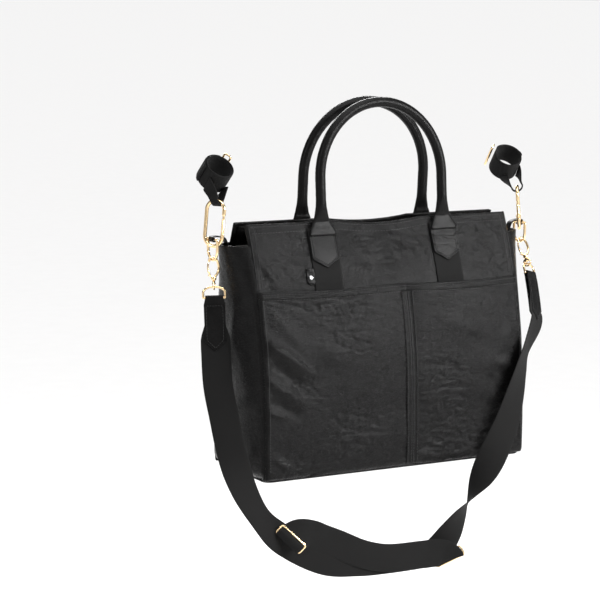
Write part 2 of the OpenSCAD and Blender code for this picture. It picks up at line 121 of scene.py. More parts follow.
class Nodes:
    # a small wrapper that adds nodes and links them to one Principled shader
    def __init__(self, name):
        self.material = bpy.data.materials.new(name)
        self.material.use_nodes = True
        self.tree = self.material.node_tree
        self.shader = self.tree.nodes["Principled BSDF"]

    def add(self, kind, links=(), **values):
        node = self.tree.nodes.new("ShaderNode" + kind)
        for key, value in values.items():
            setattr(node, key, value)
        for slotName, source in links:
            self.link(source, node.inputs[slotName])
        return node

    def link(self, source, target):
        self.tree.links.new(source, target)

    def place(self, scale):
        coords = self.add("TexCoord")
        mapping = self.add("Mapping", [("Vector", coords.outputs["Object"])])
        mapping.inputs["Scale"].default_value = scale
        return mapping.outputs["Vector"]

    def ramp(self, source, stops):
        ramp = self.add("ValToRGB", [("Fac", source)])
        while len(ramp.color_ramp.elements) < len(stops):
            ramp.color_ramp.elements.new(0.5)
        for element, (where, colour) in zip(ramp.color_ramp.elements, stops):
            element.position = where
            element.color = (*colour, 1)
        return ramp.outputs["Color"]

    def bump(self, height, strength, distance, before=None):
        links = [("Height", height)] + ([("Normal", before)] if before else [])
        node = self.add("Bump", links)
        node.inputs["Strength"].default_value = strength
        node.inputs["Distance"].default_value = distance
        return node.outputs["Normal"]

    def maths(self, operation, a, b=None):
        node = self.add("Math", operation=operation)
        for i, value in enumerate([a, b]):
            if value is None:
                continue
            if isinstance(value, (int, float)):
                node.inputs[i].default_value = value
            else:
                self.link(value, node.inputs[i])
        return node.outputs[0]


def grey(v):
    return (v, v, v)


def leatherMaterial(name, dark, light, rough=(0.34, 0.52), grain=1.0):
    # pebbled hide: small Voronoi cells with fine creases stretched sideways over them
    n = Nodes(name)
    pebbleAt = n.place((1 / 0.0015, 1 / 0.0015, 1 / 0.0011))
    pebble = n.add("TexVoronoi", [("Vector", pebbleAt)], feature="SMOOTH_F1")
    pebble.inputs["Scale"].default_value = 1.0
    creaseAt = n.place((60, 60, 190))
    crease = n.add("TexNoise", [("Vector", creaseAt)])
    crease.inputs["Detail"].default_value = 6
    crease.inputs["Distortion"].default_value = 1.2
    wideAt = n.place((14, 14, 20))
    wide = n.add("TexNoise", [("Vector", wideAt)])
    wide.inputs["Detail"].default_value = 3
    tone = n.ramp(wide.outputs["Fac"], [(0.32, dark), (0.70, light)])
    n.link(tone, n.shader.inputs["Base Color"])
    worn = n.ramp(crease.outputs["Fac"], [(0.35, grey(rough[1])), (0.65, grey(rough[0]))])
    n.link(worn, n.shader.inputs["Roughness"])
    n.shader.inputs["Specular IOR Level"].default_value = 0.085
    first = n.bump(pebble.outputs["Distance"], 0.30 * grain, 0.0004)
    second = n.bump(crease.outputs["Fac"], 0.34 * grain, 0.0012, first)
    n.link(second, n.shader.inputs["Normal"])
    return n.material


def webbingMaterial(name, dark, light, rib=0.0017, rough=0.82):
    # flat weave: two sine waves along the piece's own length and width, in metres of UV
    n = Nodes(name)
    uv = n.add("TexCoord").outputs["UV"]
    parts = n.add("SeparateXYZ", [("Vector", uv)])
    across = n.maths("SINE", n.maths("MULTIPLY", parts.outputs["X"], 2 * math.pi / rib))
    along = n.maths("SINE", n.maths("MULTIPLY", parts.outputs["Y"], 2 * math.pi / (rib * 0.8)))
    weave = n.maths("MULTIPLY", across, along)
    level = n.maths("MULTIPLY_ADD", weave, 0.5)
    level.node.inputs[2].default_value = 0.5
    fuzzAt = n.place((900, 900, 900))
    fuzz = n.add("TexNoise", [("Vector", fuzzAt)])
    mixed = n.maths("MULTIPLY", level, fuzz.outputs["Fac"])
    tone = n.ramp(mixed, [(0.05, dark), (0.55, light)])
    n.link(tone, n.shader.inputs["Base Color"])
    n.shader.inputs["Roughness"].default_value = rough
    n.shader.inputs["Specular IOR Level"].default_value = 0.10
    n.shader.inputs["Sheen Weight"].default_value = 0.02
    n.shader.inputs["Sheen Roughness"].default_value = 0.5
    n.link(n.bump(level, 0.5, 0.0003, n.bump(fuzz.outputs["Fac"], 0.3, 0.0002)), n.shader.inputs["Normal"])
    return n.material


def metalMaterial(name, colour, worn, rough=(0.14, 0.3)):
    n = Nodes(name)
    smudgeAt = n.place((120, 120, 120))
    smudge = n.add("TexNoise", [("Vector", smudgeAt)])
    smudge.inputs["Detail"].default_value = 4
    n.link(n.ramp(smudge.outputs["Fac"], [(0.3, worn), (0.6, colour)]), n.shader.inputs["Base Color"])
    n.link(n.ramp(smudge.outputs["Fac"], [(0.3, grey(rough[1])), (0.7, grey(rough[0]))]),
           n.shader.inputs["Roughness"])
    n.shader.inputs["Metallic"].default_value = 1.0
    n.link(n.bump(smudge.outputs["Fac"], 0.05, 0.0002), n.shader.inputs["Normal"])
    return n.material


def clothMaterial(name, dark, light, pitch=0.0009, rough=0.9):
    # plain weave read from object place, for lining and board
    n = Nodes(name)
    at = n.place((1 / pitch, 1 / pitch, 1 / pitch))
    checks = n.add("TexWave", [("Vector", at)], wave_type="BANDS", bands_direction="X")
    rows = n.add("TexWave", [("Vector", at)], wave_type="BANDS", bands_direction="Z")
    for wave in (checks, rows):
        wave.inputs["Scale"].default_value = 0.5
    weave = n.maths("MULTIPLY", checks.outputs["Fac"], rows.outputs["Fac"])
    cloudAt = n.place((40, 40, 40))
    cloud = n.add("TexNoise", [("Vector", cloudAt)])
    n.link(n.ramp(n.maths("MULTIPLY", weave, cloud.outputs["Fac"]), [(0.0, dark), (0.6, light)]),
           n.shader.inputs["Base Color"])
    n.shader.inputs["Roughness"].default_value = rough
    n.link(n.bump(weave, 0.3, 0.0003), n.shader.inputs["Normal"])
    return n.material


def threadMaterial(name, dark, light):
    n = Nodes(name)
    twistAt = n.place((1800, 1800, 1800))
    twist = n.add("TexNoise", [("Vector", twistAt)])
    n.link(n.ramp(twist.outputs["Fac"], [(0.3, dark), (0.7, light)]), n.shader.inputs["Base Color"])
    n.shader.inputs["Roughness"].default_value = 0.55
    n.link(n.bump(twist.outputs["Fac"], 0.3, 0.0001), n.shader.inputs["Normal"])
    return n.material


def floorMaterial():
    n = Nodes("paleFloor")
    at = n.place((3, 3, 3))
    cloud = n.add("TexNoise", [("Vector", at)])
    c = studio["floorColour"]
    n.link(n.ramp(cloud.outputs["Fac"], [(0.3, tuple(v * 0.985 for v in c)), (0.7, c)]),
           n.shader.inputs["Base Color"])
    n.shader.inputs["Roughness"].default_value = 0.9
    return n.material


hideBlack = (0.0030, 0.0029, 0.0029)
leather = leatherMaterial("blackLeather", hideBlack, (0.0056, 0.0054, 0.0054), (0.19, 0.31), 1.6)
softLeather = leatherMaterial("handleLeather", hideBlack, (0.0052, 0.0050, 0.0050), (0.25, 0.38), 0.8)
webbing = webbingMaterial("strapWeave", (0.003, 0.003, 0.003), (0.012, 0.0117, 0.0115))
bandWeave = webbingMaterial("bandWeave", (0.003, 0.003, 0.003), (0.011, 0.0107, 0.0105), 0.0014, 0.74)
gold = metalMaterial("paleGold", (0.93, 0.71, 0.42), (0.86, 0.62, 0.34))
nickel = metalMaterial("satinNickel", (0.74, 0.74, 0.75), (0.6, 0.6, 0.61), (0.22, 0.36))
thread = threadMaterial("blackThread", (0.004, 0.004, 0.004), (0.014, 0.014, 0.014))
lining = clothMaterial("liningTwill", (0.045, 0.043, 0.041), (0.095, 0.091, 0.087))
boardGrey = clothMaterial("boardFelt", (0.03, 0.03, 0.03), (0.07, 0.068, 0.066), 0.0015)
coreCord = clothMaterial("cordCore", (0.25, 0.24, 0.22), (0.4, 0.38, 0.35), 0.0012)
print("materials ready")


def unit(v):
    v = np.asarray(v, float)
    return v / np.maximum(np.linalg.norm(v, axis=-1, keepdims=True), 1e-12)


def smoothstep(t):
    # 3 t squared minus 2 t cubed, between 0 and 1
    t = np.clip(t, 0, 1)
    return t * t * (3 - 2 * t)


def noise2(u, v, seed):
    # random lattice values joined by smoothsteps; u and v count cells
    table = np.random.RandomState(seed).rand(64, 64)
    iu, iv = np.floor(u).astype(int), np.floor(v).astype(int)
    fu, fv = smoothstep(u - iu), smoothstep(v - iv)
    a, b = table[iu % 64, iv % 64], table[(iu + 1) % 64, iv % 64]
    c, d = table[iu % 64, (iv + 1) % 64], table[(iu + 1) % 64, (iv + 1) % 64]
    return (a + (b - a) * fu) * (1 - fv) + (c + (d - c) * fu) * fv


def curveThrough(points, steps):
    # Catmull-Rom curve: each span is half of (2b + (c-a)t + (2a-5b+4c-d)t2 + (3b-a-3c+d)t3)
    p = np.asarray(points, float)
    q = np.vstack([p[:1], p, p[-1:]])
    a, b, c, d = (v[:, None, :] for v in (q[:-3], q[1:-2], q[2:-1], q[3:]))
    t = (np.arange(steps) / steps)[None, :, None]
    squared, cubed = 2 * a - 5 * b + 4 * c - d, 3 * b - a - 3 * c + d
    out = 0.5 * (2 * b + (c - a) * t + squared * t ** 2 + cubed * t ** 3)
    return np.vstack([out.reshape(-1, p.shape[1]), p[-1:]])


def evenly(path, pitch):
    # the same path cut into equal steps of about pitch
    step = np.linalg.norm(np.diff(path, axis=0), axis=1)
    run = np.concatenate([[0], np.cumsum(step)])
    count = max(2, int(round(run[-1] / pitch)) + 1)
    at = np.linspace(0, run[-1], count)
    return np.stack([np.interp(at, run, path[:, i]) for i in range(path.shape[1])], 1)


def pathLength(path):
    return float(np.linalg.norm(np.diff(np.asarray(path)[:, :3], axis=0), axis=1).sum())


def addMesh(name, points, faces, material, corners=None, smooth=True):
    mesh = bpy.data.meshes.new(name)
    mesh.from_pydata(np.asarray(points, float).tolist(), [], [list(map(int, f)) for f in faces])
    if corners is not None:
        layer = mesh.uv_layers.new(name="UVMap")
        layer.data.foreach_set("uv", np.concatenate([np.asarray(c, float).ravel() for c in corners]))
    mesh.polygons.foreach_set("use_smooth", np.full(len(mesh.polygons), smooth))
    mesh.update()
    mesh.materials.append(material)
    return addObject(name, mesh)


def closedMesh(name, points, faces, corners, material):
    # faces are turned outwards by the sign of the volume they enclose
    points = np.asarray(points, float)
    first, second, third, last = (np.array([f[i] for f in faces]) for i in (0, 1, 2, -1))
    p = points - points.mean(0)
    volume = (np.einsum("ij,ij->i", p[first], np.cross(p[second], p[third])).sum()
              + np.einsum("ij,ij->i", p[first], np.cross(p[third], p[last])).sum())
    if volume < 0:
        faces = [f[::-1] for f in faces]
        corners = [c[::-1] for c in corners]
    return addMesh(name, points, faces, material, corners)


def gridFaces(rows, columns, wrapRows=False, wrapColumns=False, start=0):
    i = np.arange(rows if wrapRows else rows - 1)[:, None]
    j = np.arange(columns if wrapColumns else columns - 1)[None, :]
    a = i * columns + j
    b = i * columns + (j + 1) % columns
    c = ((i + 1) % rows) * columns + (j + 1) % columns
    d = ((i + 1) % rows) * columns + j
    quads = np.stack(np.broadcast_arrays(a, b, c, d), -1).reshape(-1, 4) + start
    corner = np.stack(np.broadcast_arrays(i, j, i, j + 1, i + 1, j + 1, i + 1, j), -1).reshape(-1, 4, 2)
    return quads, corner


def runLengths(grid, axis):
    # distance walked along one direction of a grid of points, on its middle line
    mid = np.take(grid, grid.shape[1 - axis] // 2, axis=1 - axis)
    return np.concatenate([[0], np.cumsum(np.linalg.norm(np.diff(mid, axis=0), axis=1))])


def finishPiece(obj, body, nodes=()):
    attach(obj, body)
    if nodes:
        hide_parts(*nodes)
    return obj


def tube(name, grid, material, closed=False):
    # rings joined one after another; open ends are closed by one face each
    rows, columns = grid.shape[:2]
    quads, corner = gridFaces(rows, columns, closed, True)
    along = runLengths(grid, 0)
    along = np.append(along, along[-1] + np.linalg.norm(grid[0, 0] - grid[-1, 0]))
    around = np.concatenate([[0], np.cumsum(np.linalg.norm(
        np.diff(np.vstack([grid[rows // 2], grid[rows // 2][:1]]), axis=0), axis=1))])
    uv = np.stack([around[corner[..., 1]], along[corner[..., 0]]], -1)
    faces, uvs = list(quads), list(uv)
    if not closed:
        for ring in (0, rows - 1):
            loop = np.arange(columns) + ring * columns
            loop = loop[::-1] if ring == 0 else loop
            faces.append(loop)
            uvs.append(np.zeros((columns, 2)))
    return closedMesh(name, grid.reshape(-1, 3), faces, uvs, material)


def wireGrid(path, radius, normal, closed=False, sides=20):
    # ring point = path + radius (normal cos a + side sin a), side = tangent x normal
    path = np.asarray(path, float)
    radius = np.full(len(path), radius) if np.isscalar(radius) else np.asarray(radius, float)
    if closed:
        tangent = unit(np.roll(path, -1, 0) - np.roll(path, 1, 0))
    else:
        tangent = unit(np.gradient(path, axis=0))
        # domes: the last rings shrink as a quarter circle
        angles = np.radians([80, 60, 40, 20])
        head = path[0] - tangent[0] * radius[0] * np.sin(angles)[:, None]
        tail = path[-1] + tangent[-1] * radius[-1] * np.sin(angles[::-1])[:, None]
        path = np.vstack([head, path, tail])
        radius = np.concatenate([radius[0] * np.cos(angles), radius, radius[-1] * np.cos(angles[::-1])])
        tangent = np.vstack([np.repeat(tangent[:1], 4, 0), tangent, np.repeat(tangent[-1:], 4, 0)])
    normal = np.broadcast_to(np.asarray(normal, float), path.shape)
    side = unit(np.cross(tangent, normal))
    out = unit(np.cross(side, tangent))
    a = np.linspace(0, 2 * math.pi, sides, endpoint=False)[None, :, None]
    spokes = out[:, None, :] * np.cos(a) + side[:, None, :] * np.sin(a)
    return path[:, None, :] + radius[:, None, None] * spokes


def sheetNormal(sheet):
    return unit(np.cross(np.gradient(sheet, axis=1), np.gradient(sheet, axis=0)))


def plate(name, outer, thick, material, outward=(0, -1, 0)):
    # closed piece: face, back and a rounded edge between them
    outer = np.asarray(outer, float)
    normal = sheetNormal(outer)
    if (normal.reshape(-1, 3).mean(0) * np.asarray(outward)).sum() < 0:
        outer = outer[:, ::-1]
        normal = sheetNormal(outer)
    back = outer - normal * thick
    rows, columns = outer.shape[:2]
    quads, corner = gridFaces(rows, columns)
    u, v = runLengths(outer, 1), runLengths(outer, 0)
    uv = np.stack([u[corner[..., 1]], v[corner[..., 0]]], -1)
    index = np.arange(rows * columns).reshape(rows, columns)
    loop = np.concatenate([index[0, :-1], index[:-1, -1], index[-1, :0:-1], index[:0:-1, 0]])
    inside = np.concatenate([index[1, :-1], index[:-1, -2], index[-2, :0:-1], index[:0:-1, 1]])
    flat, flatN = outer.reshape(-1, 3), normal.reshape(-1, 3)
    out = unit(flat[loop] - flat[inside])
    mid = flat[loop] - flatN[loop] * thick / 2
    angles = np.radians([45, 90, 135])
    rings = [mid + thick / 2 * (flatN[loop] * math.cos(a) + out * math.sin(a)) for a in angles]
    count, edge = rows * columns, len(loop)
    points = np.vstack([flat, back.reshape(-1, 3)] + rings)
    ringAt = [loop] + [2 * count + k * edge + np.arange(edge) for k in range(3)] + [loop + count]
    sides = [np.stack([a, b, np.roll(b, -1), np.roll(a, -1)], 1) for a, b in zip(ringAt[:-1], ringAt[1:])]
    uvLoop = np.stack([u[loop % columns], v[loop // columns]], 1)
    sideUv = [np.stack([uvLoop, uvLoop, np.roll(uvLoop, -1, 0), np.roll(uvLoop, -1, 0)], 1)] * 4
    faces = list(quads) + list(quads[:, ::-1] + count) + [f for s in sides for f in s]
    uvs = list(uv) + list(uv[:, ::-1]) + [f for s in sideUv for f in s]
    return closedMesh(name, points, faces, uvs, material)


def ribbonGrid(path, facing, width, thick, cup=0.0, across=18):
    # flat strap: rounded-rectangle rings, face turned to the given direction at each point
    path = np.asarray(path, float)
    along = unit(np.gradient(path, axis=0))
    side = unit(np.cross(facing, along))
    out = np.cross(along, side)
    s = np.cos(np.linspace(0, math.pi, across))
    s = np.sign(s) * (1 - (1 - np.abs(s)) ** 1.15)
    half = thick / 2 * np.sqrt(np.clip(1 - np.abs(s) ** 14, 0, 1))
    lift, under = (share * half + cup * (1 - s * s) for share in (1, -1))
    width = np.broadcast_to(np.asarray(width, float), (len(path),))
    sx = np.concatenate([s, s[-2:0:-1]])
    sy = np.concatenate([lift, under[-2:0:-1]])
    return (path[:, None, :] + side[:, None, :] * (sx[None, :, None] * width[:, None, None] / 2)
            + out[:, None, :] * sy[None, :, None])


def joinRows(name, rows, material):
    # several small closed shapes with one face list each, as one mesh
    points, faces, at = [], [], 0
    for p, f in rows:
        points.append(p)
        faces.append(f + at)
        at += len(p)
    return addMesh(name, np.vstack(points), np.vstack(faces), material)


def stitchShapes(path, normals, pitch=0.0042, length=0.0031, radius=0.00034, lift=0.0001):
    # a bead for every stitch: 5 rings of 6 points along the path, ends drawn in
    path = np.asarray(path, float)
    joined = np.hstack([path, np.broadcast_to(np.asarray(normals, float), path.shape)])
    even = evenly(joined, pitch)
    centre = (even[:-1, :3] + even[1:, :3]) / 2
    along = unit(even[1:, :3] - even[:-1, :3])
    normal = unit((even[:-1, 3:] + even[1:, 3:]) / 2)
    side = unit(np.cross(along, normal))
    normal = np.cross(side, along)
    t = np.array([-1, -0.7, 0, 0.7, 1.0])
    fat = np.array([0.25, 0.85, 1.0, 0.85, 0.25])
    dip = np.array([-1.0, -0.1, 0.35, -0.1, -1.0])
    a = np.linspace(0, 2 * math.pi, 6, endpoint=False)
    c = centre[:, None, None, :] + along[:, None, None, :] * (t * length / 2)[None, :, None, None]
    c = c + normal[:, None, None, :] * (lift + dip * radius)[None, :, None, None]
    ring = (side[:, None, None, :] * np.cos(a)[None, None, :, None]
            + normal[:, None, None, :] * np.sin(a)[None, None, :, None])
    points = c + ring * (fat * radius)[None, :, None, None]
    quads, _ = gridFaces(5, 6, False, True)
    caps = np.array([[5, 4, 1, 0], [4, 3, 2, 1], [24, 25, 28, 29], [25, 26, 27, 28]])
    base = np.vstack([quads[:, ::-1], caps])
    count = len(centre)
    faces = (base[None] + (np.arange(count) * 30)[:, None, None]).reshape(-1, 4)
    return points.reshape(-1, 3), faces


def mirrored(points, side):
    # the left side is the right side with x turned over
    return points * np.array([side, 1, 1.0])


def turnedShape(profile, count):
    # a profile of radius and height, swept round the upright axis
    a = np.linspace(0, 2 * math.pi, count, endpoint=False)[None, :]
    return np.stack([profile[:, :1] * np.cos(a), profile[:, :1] * np.sin(a), profile[:, 1:] + 0 * a], -1)


def roundedRectangle(wide, high, radius, step):
    # four corner arcs about centres that stand wide and high from the middle
    a = np.arange(0, 91, step)
    corners = ((1, 1, 0), (-1, 1, 90), (-1, -1, 180), (1, -1, 270))
    return np.vstack([
        np.stack([sx * wide + radius * np.cos(np.radians(a0 + a)),
                  sy * high + radius * np.sin(np.radians(a0 + a))], 1)
        for sx, sy, a0 in corners])


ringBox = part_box("d_ring_right")
strap = dict(
    width=0.038, thick=0.0018, endTurn=29.0, endLength=0.067, endWidth=0.026, endBar=0.061,
    ringTop=0.0469, steps=(65, 88, 112, 130), faceTurns=(-119.0, 120.0), endBend=(0.0, 0.010),
    sideX=(ringBox[0].x + ringBox[1].x) / 2, barZ=ringBox[1].z - 0.0018, arcDrop=0.014, hookDrop=0.013,
    ringWire=0.0015)
strap["arcZ"] = strap["barZ"] - strap["arcDrop"]
tilts = [math.atan2(-joints["hook_" + s + "_swivel"]["axis"][1], -joints["hook_" + s + "_swivel"]["axis"][2])
         for s in ("left", "right")]
strapMiddle = [
    (-237, -19, -234, -119), (-236, -34, -272, -119), (-234, -52, -316, -116),
    (-226, -72, -362, -82), (-204, -86, -404, -62), (-170, -90, -434, -98),
    (-119, -90, -462, -119), (-70, -90, -470, -119), (-28, -90, -472, -119),
    (20, -90, -472, -119), (48, -90, -470, -112), (68, -91, -451, -92),
    (86, -92, -425, -56), (103, -93, -399, -16), (121, -93, -372, 24),
    (142, -93, -336, 64), (160, -90, -304, 86), (175, -86, -268, 106),
    (189, -79, -236, 124), (203, -70, -210, 136)]
doubleRoute = [
    (-179.7, -98.1, -429.5, -119), (-175.3, -101.3, -424, -119), (-168.8, -100, -419.5, -119),
    (-158.9, -100, -418, -119), (-143, -98, -422, -119), (-126, -96.5, -430, -119),
    (-104, -96, -440, -119), (-66, -96, -458, -119), (-27, -96, -468, -119), (22, -96, -470, -119),
    (42, -97.5, -470, -119), (55, -99.5, -472, -119), (62.7, -101.4, -477, -119), (65.2, -101.3, -481, -119)]
slider = dict(at=((-174, -99, -424), (64, -99, -477)), roll=(43.0, -27.0), height=0.012, corner=0.0025,
              wire=0.0013, bar=0.0012)


def endBend(k, d):
    # below its ring the right leather end curves in towards the bag
    return -strap["endBend"][k] * np.clip((d - 60) / 72, 0, None) ** 1.4


def chainPoint(k, d):
    # a point d millimetres down the hook chain of side k
    return np.array([(-1, 1)[k] * strap["sideX"], -math.sin(tilts[k]) * d * mm,
                     strap["arcZ"] - math.cos(tilts[k]) * d * mm])


def onChain(points, k, d, turn=0.0):
    # points in the chain's own frame, turned about its length and tilted forward
    p = np.asarray(points, float)
    t = math.radians(turn)
    x = p[..., 0] * math.cos(t) - p[..., 1] * math.sin(t)
    y = p[..., 0] * math.sin(t) + p[..., 1] * math.cos(t)
    z = p[..., 2]
    c, s = math.cos(tilts[k]), math.sin(tilts[k])
    bend = endBend(k, d - z / mm)
    return np.stack([x + bend, y * c + z * s, -y * s + z * c], -1) + chainPoint(k, d)


def chainDirection(v, k, turn=0.0):
    return (onChain([v], k, 0, turn) - onChain([[0, 0, 0]], k, 0, turn))[0]


def routeOf(rows, steps):
    # through the points in millimetres, the last column being the way the face looks
    p = curveThrough(np.array(rows, float), steps)
    az = np.radians(p[:, 3])
    return p[:, :3] * mm, np.stack([np.cos(az), np.sin(az), 0 * az], 1)


def makeStrap():
    ends = [[tuple((chainPoint(k, d) + [endBend(k, d), 0, 0]) / mm) + (az,) for d in strap["steps"]]
            for k, az in enumerate(strap["faceTurns"])]
    rows = ends[0] + strapMiddle + ends[1][::-1]
    path, facing = routeOf(rows, 12)
    # the webbing is folded narrower where the leather ends hold it
    run = np.concatenate([[0], np.cumsum(np.linalg.norm(np.diff(path, axis=0), axis=1))])
    away = np.minimum(run, run[-1] - run)
    width = strap["width"] - (strap["width"] - 0.0245) * (1 - smoothstep((away - 0.022) / 0.030))
    grid = ribbonGrid(path, facing, width, strap["thick"], 0.0005)
    main = tube("strapWebbing", grid, webbing)
    finishPiece(main, "shoulder_strap", ["strap_webbing"])
    path2, facing2 = routeOf(doubleRoute, 12)
    double = tube("strapDouble", ribbonGrid(path2, facing2, strap["width"], strap["thick"], 0.0008), webbing)
    finishPiece(double, "shoulder_strap", ["strap_double"])
    return main, path, double, path2


mainStrap, strapPath, doubleStrap, doublePath = makeStrap()
strapPieces = []


def makeSlider(k):
    # frame: a rounded rectangle of wire, and a bar across its middle
    w, h = strap["width"] + 0.001, slider["height"]
    outline = roundedRectangle(w / 2 - 0.002, h / 2 - 0.002, slider["corner"], 15)
    path = np.insert(outline, 1, 0.0, axis=1)
    bar = np.array([(-w / 2, 0, 0), (0, 0, 0), (w / 2, 0, 0)])
    roll, az = math.radians(slider["roll"][k]), math.radians(strap["faceTurns"][0] + 90)
    turn = np.array([[math.cos(roll), 0, math.sin(roll)], [0, 1, 0], [-math.sin(roll), 0, math.cos(roll)]])
    spin = np.array([[math.cos(az), -math.sin(az), 0], [math.sin(az), math.cos(az), 0], [0, 0, 1]])
    matrix = spin @ turn
    centre = np.array(slider["at"][k]) * mm
    normal = matrix @ np.array([0, 1.0, 0])
    name = "slider" + ("Left", "Right")[k]
    frameObj = tube(name, wireGrid(path @ matrix.T + centre, slider["wire"], normal, True, 16), gold, True)
    barObj = tube(name + "Bar", wireGrid(bar @ matrix.T + centre, slider["bar"], normal, False, 14), gold)
    finishPiece(frameObj, "shoulder_strap", [("slider_left", "slider_right")[k]])
    finishPiece(barObj, "shoulder_strap")
    return [frameObj, barObj]


for k in (0, 1):
    strapPieces += makeSlider(k)


def arc(centre, radius, a0, a1, step=7.5, squash=1.0):
    a = np.radians(np.arange(a0, a1 + 0.01 * np.sign(a1 - a0), step * np.sign(a1 - a0)))
    return np.stack([centre[0] + radius * np.cos(a), 0 * a, centre[1] + radius * squash * np.sin(a)], 1)


def makeStrapEnd(k):
    side = ("Left", "Right")[k]
    turn, bar = (-1, 1)[k] * strap["endTurn"], strap["endBar"] / mm
    # ring: a bar with a flattened arch over it, in the plane of the strap's end
    half, rise = 0.014, strap["endBar"] - strap["ringTop"] - 0.007
    ring = np.vstack([[(-half, 0, 0)], [(-half, 0, rise / 2)], arc((0, rise), half, 180, 0, 9, 0.5),
                      [(half, 0, rise / 2)], [(half, 0, 0)], [(half * 0.33, 0, 0)], [(-half * 0.33, 0, 0)]])
    ring = evenly(np.vstack([ring, ring[:1]]), 0.0011)[:-1]
    normal = chainDirection([0, 1.0, 0], k, turn)
    grid = wireGrid(onChain(ring, k, bar, turn), strap["ringWire"], normal, True, 16)
    ringObj = tube("strapRing" + side, grid, gold, True)
    finishPiece(ringObj, "shoulder_strap", [("strap_ring_left", "strap_ring_right")[k]])
    # leather: two leaves with pointed ends that meet over the ring's bar
    u = np.linspace(-1, 1, 29)[None, :]
    v = np.linspace(0, 1, 48)[:, None]
    half = strap["endWidth"] / 2
    tip = -strap["endLength"] + 0.012 * np.clip(np.abs(u) * 1.05 - 0.05, 0, 1)
    leaves = []
    for s in (-1, 1):
        narrow = half - 0.0022 * np.clip(1 - v / 0.16, 0, 1)
        x = narrow * u + 0 * v
        z = tip * v + 0 * u
        puff = 0.0003 * np.cos(u * math.pi / 2) * np.sin(v * math.pi)
        y = s * (0.0026 + 0.0009 * np.clip(1 - v / 0.12, 0, 1) + puff) + 0 * x
        grid = onChain(np.stack([x, y, z], -1), k, bar, turn)
        outward = chainDirection([0, s, 0], k, turn)
        leaf = plate("strapEnd" + side + ("Under", "Over")[s > 0], grid, 0.0014, softLeather, outward)
        node = "strap_end_" + side.lower()
        finishPiece(leaf, "shoulder_strap", [node] if s < 0 else ())
        leaves.append(leaf)
    # fold: half a roll over the bar
    a = np.radians(np.linspace(-10, 190, 26))[:, None]
    w = np.linspace(-1, 1, 15)[None, :] * (half - 0.0022)
    fold = np.stack([w + 0 * a, 0.0035 * np.cos(a) + 0 * w, 0.0034 * np.sin(a) + 0 * w], -1)
    up = chainDirection([0, 0, 1.0], k, turn)
    foldObj = plate("strapFold" + side, onChain(fold, k, bar, turn), 0.0013, softLeather, up)
    finishPiece(foldObj, "shoulder_strap")
    # seam: one row round the leaf's edge and one below the bar
    inset = half - 0.0024
    edge = [(-inset, -0.010), (-inset, -strap["endLength"] + 0.0135), (0, -strap["endLength"] + 0.0028),
            (inset, -strap["endLength"] + 0.0135), (inset, -0.010), (-inset, -0.010)]
    shapes = []
    for s in (-1, 1):
        path = evenly(np.array([(x, s * 0.0029, z) for x, z in edge]), 0.001)
        normal = chainDirection([0, s, 0], k, turn)
        shapes.append(stitchShapes(onChain(path, k, bar, turn), normal, 0.0036, 0.0027, 0.0003))
    seam = finishPiece(joinRows("strapEndSeam" + side, shapes, thread), "shoulder_strap")
    return [ringObj, foldObj, seam] + leaves


for k in (0, 1):
    strapPieces += makeStrapEnd(k)

hook = dict(wire=0.0016, trigger=0.0011)


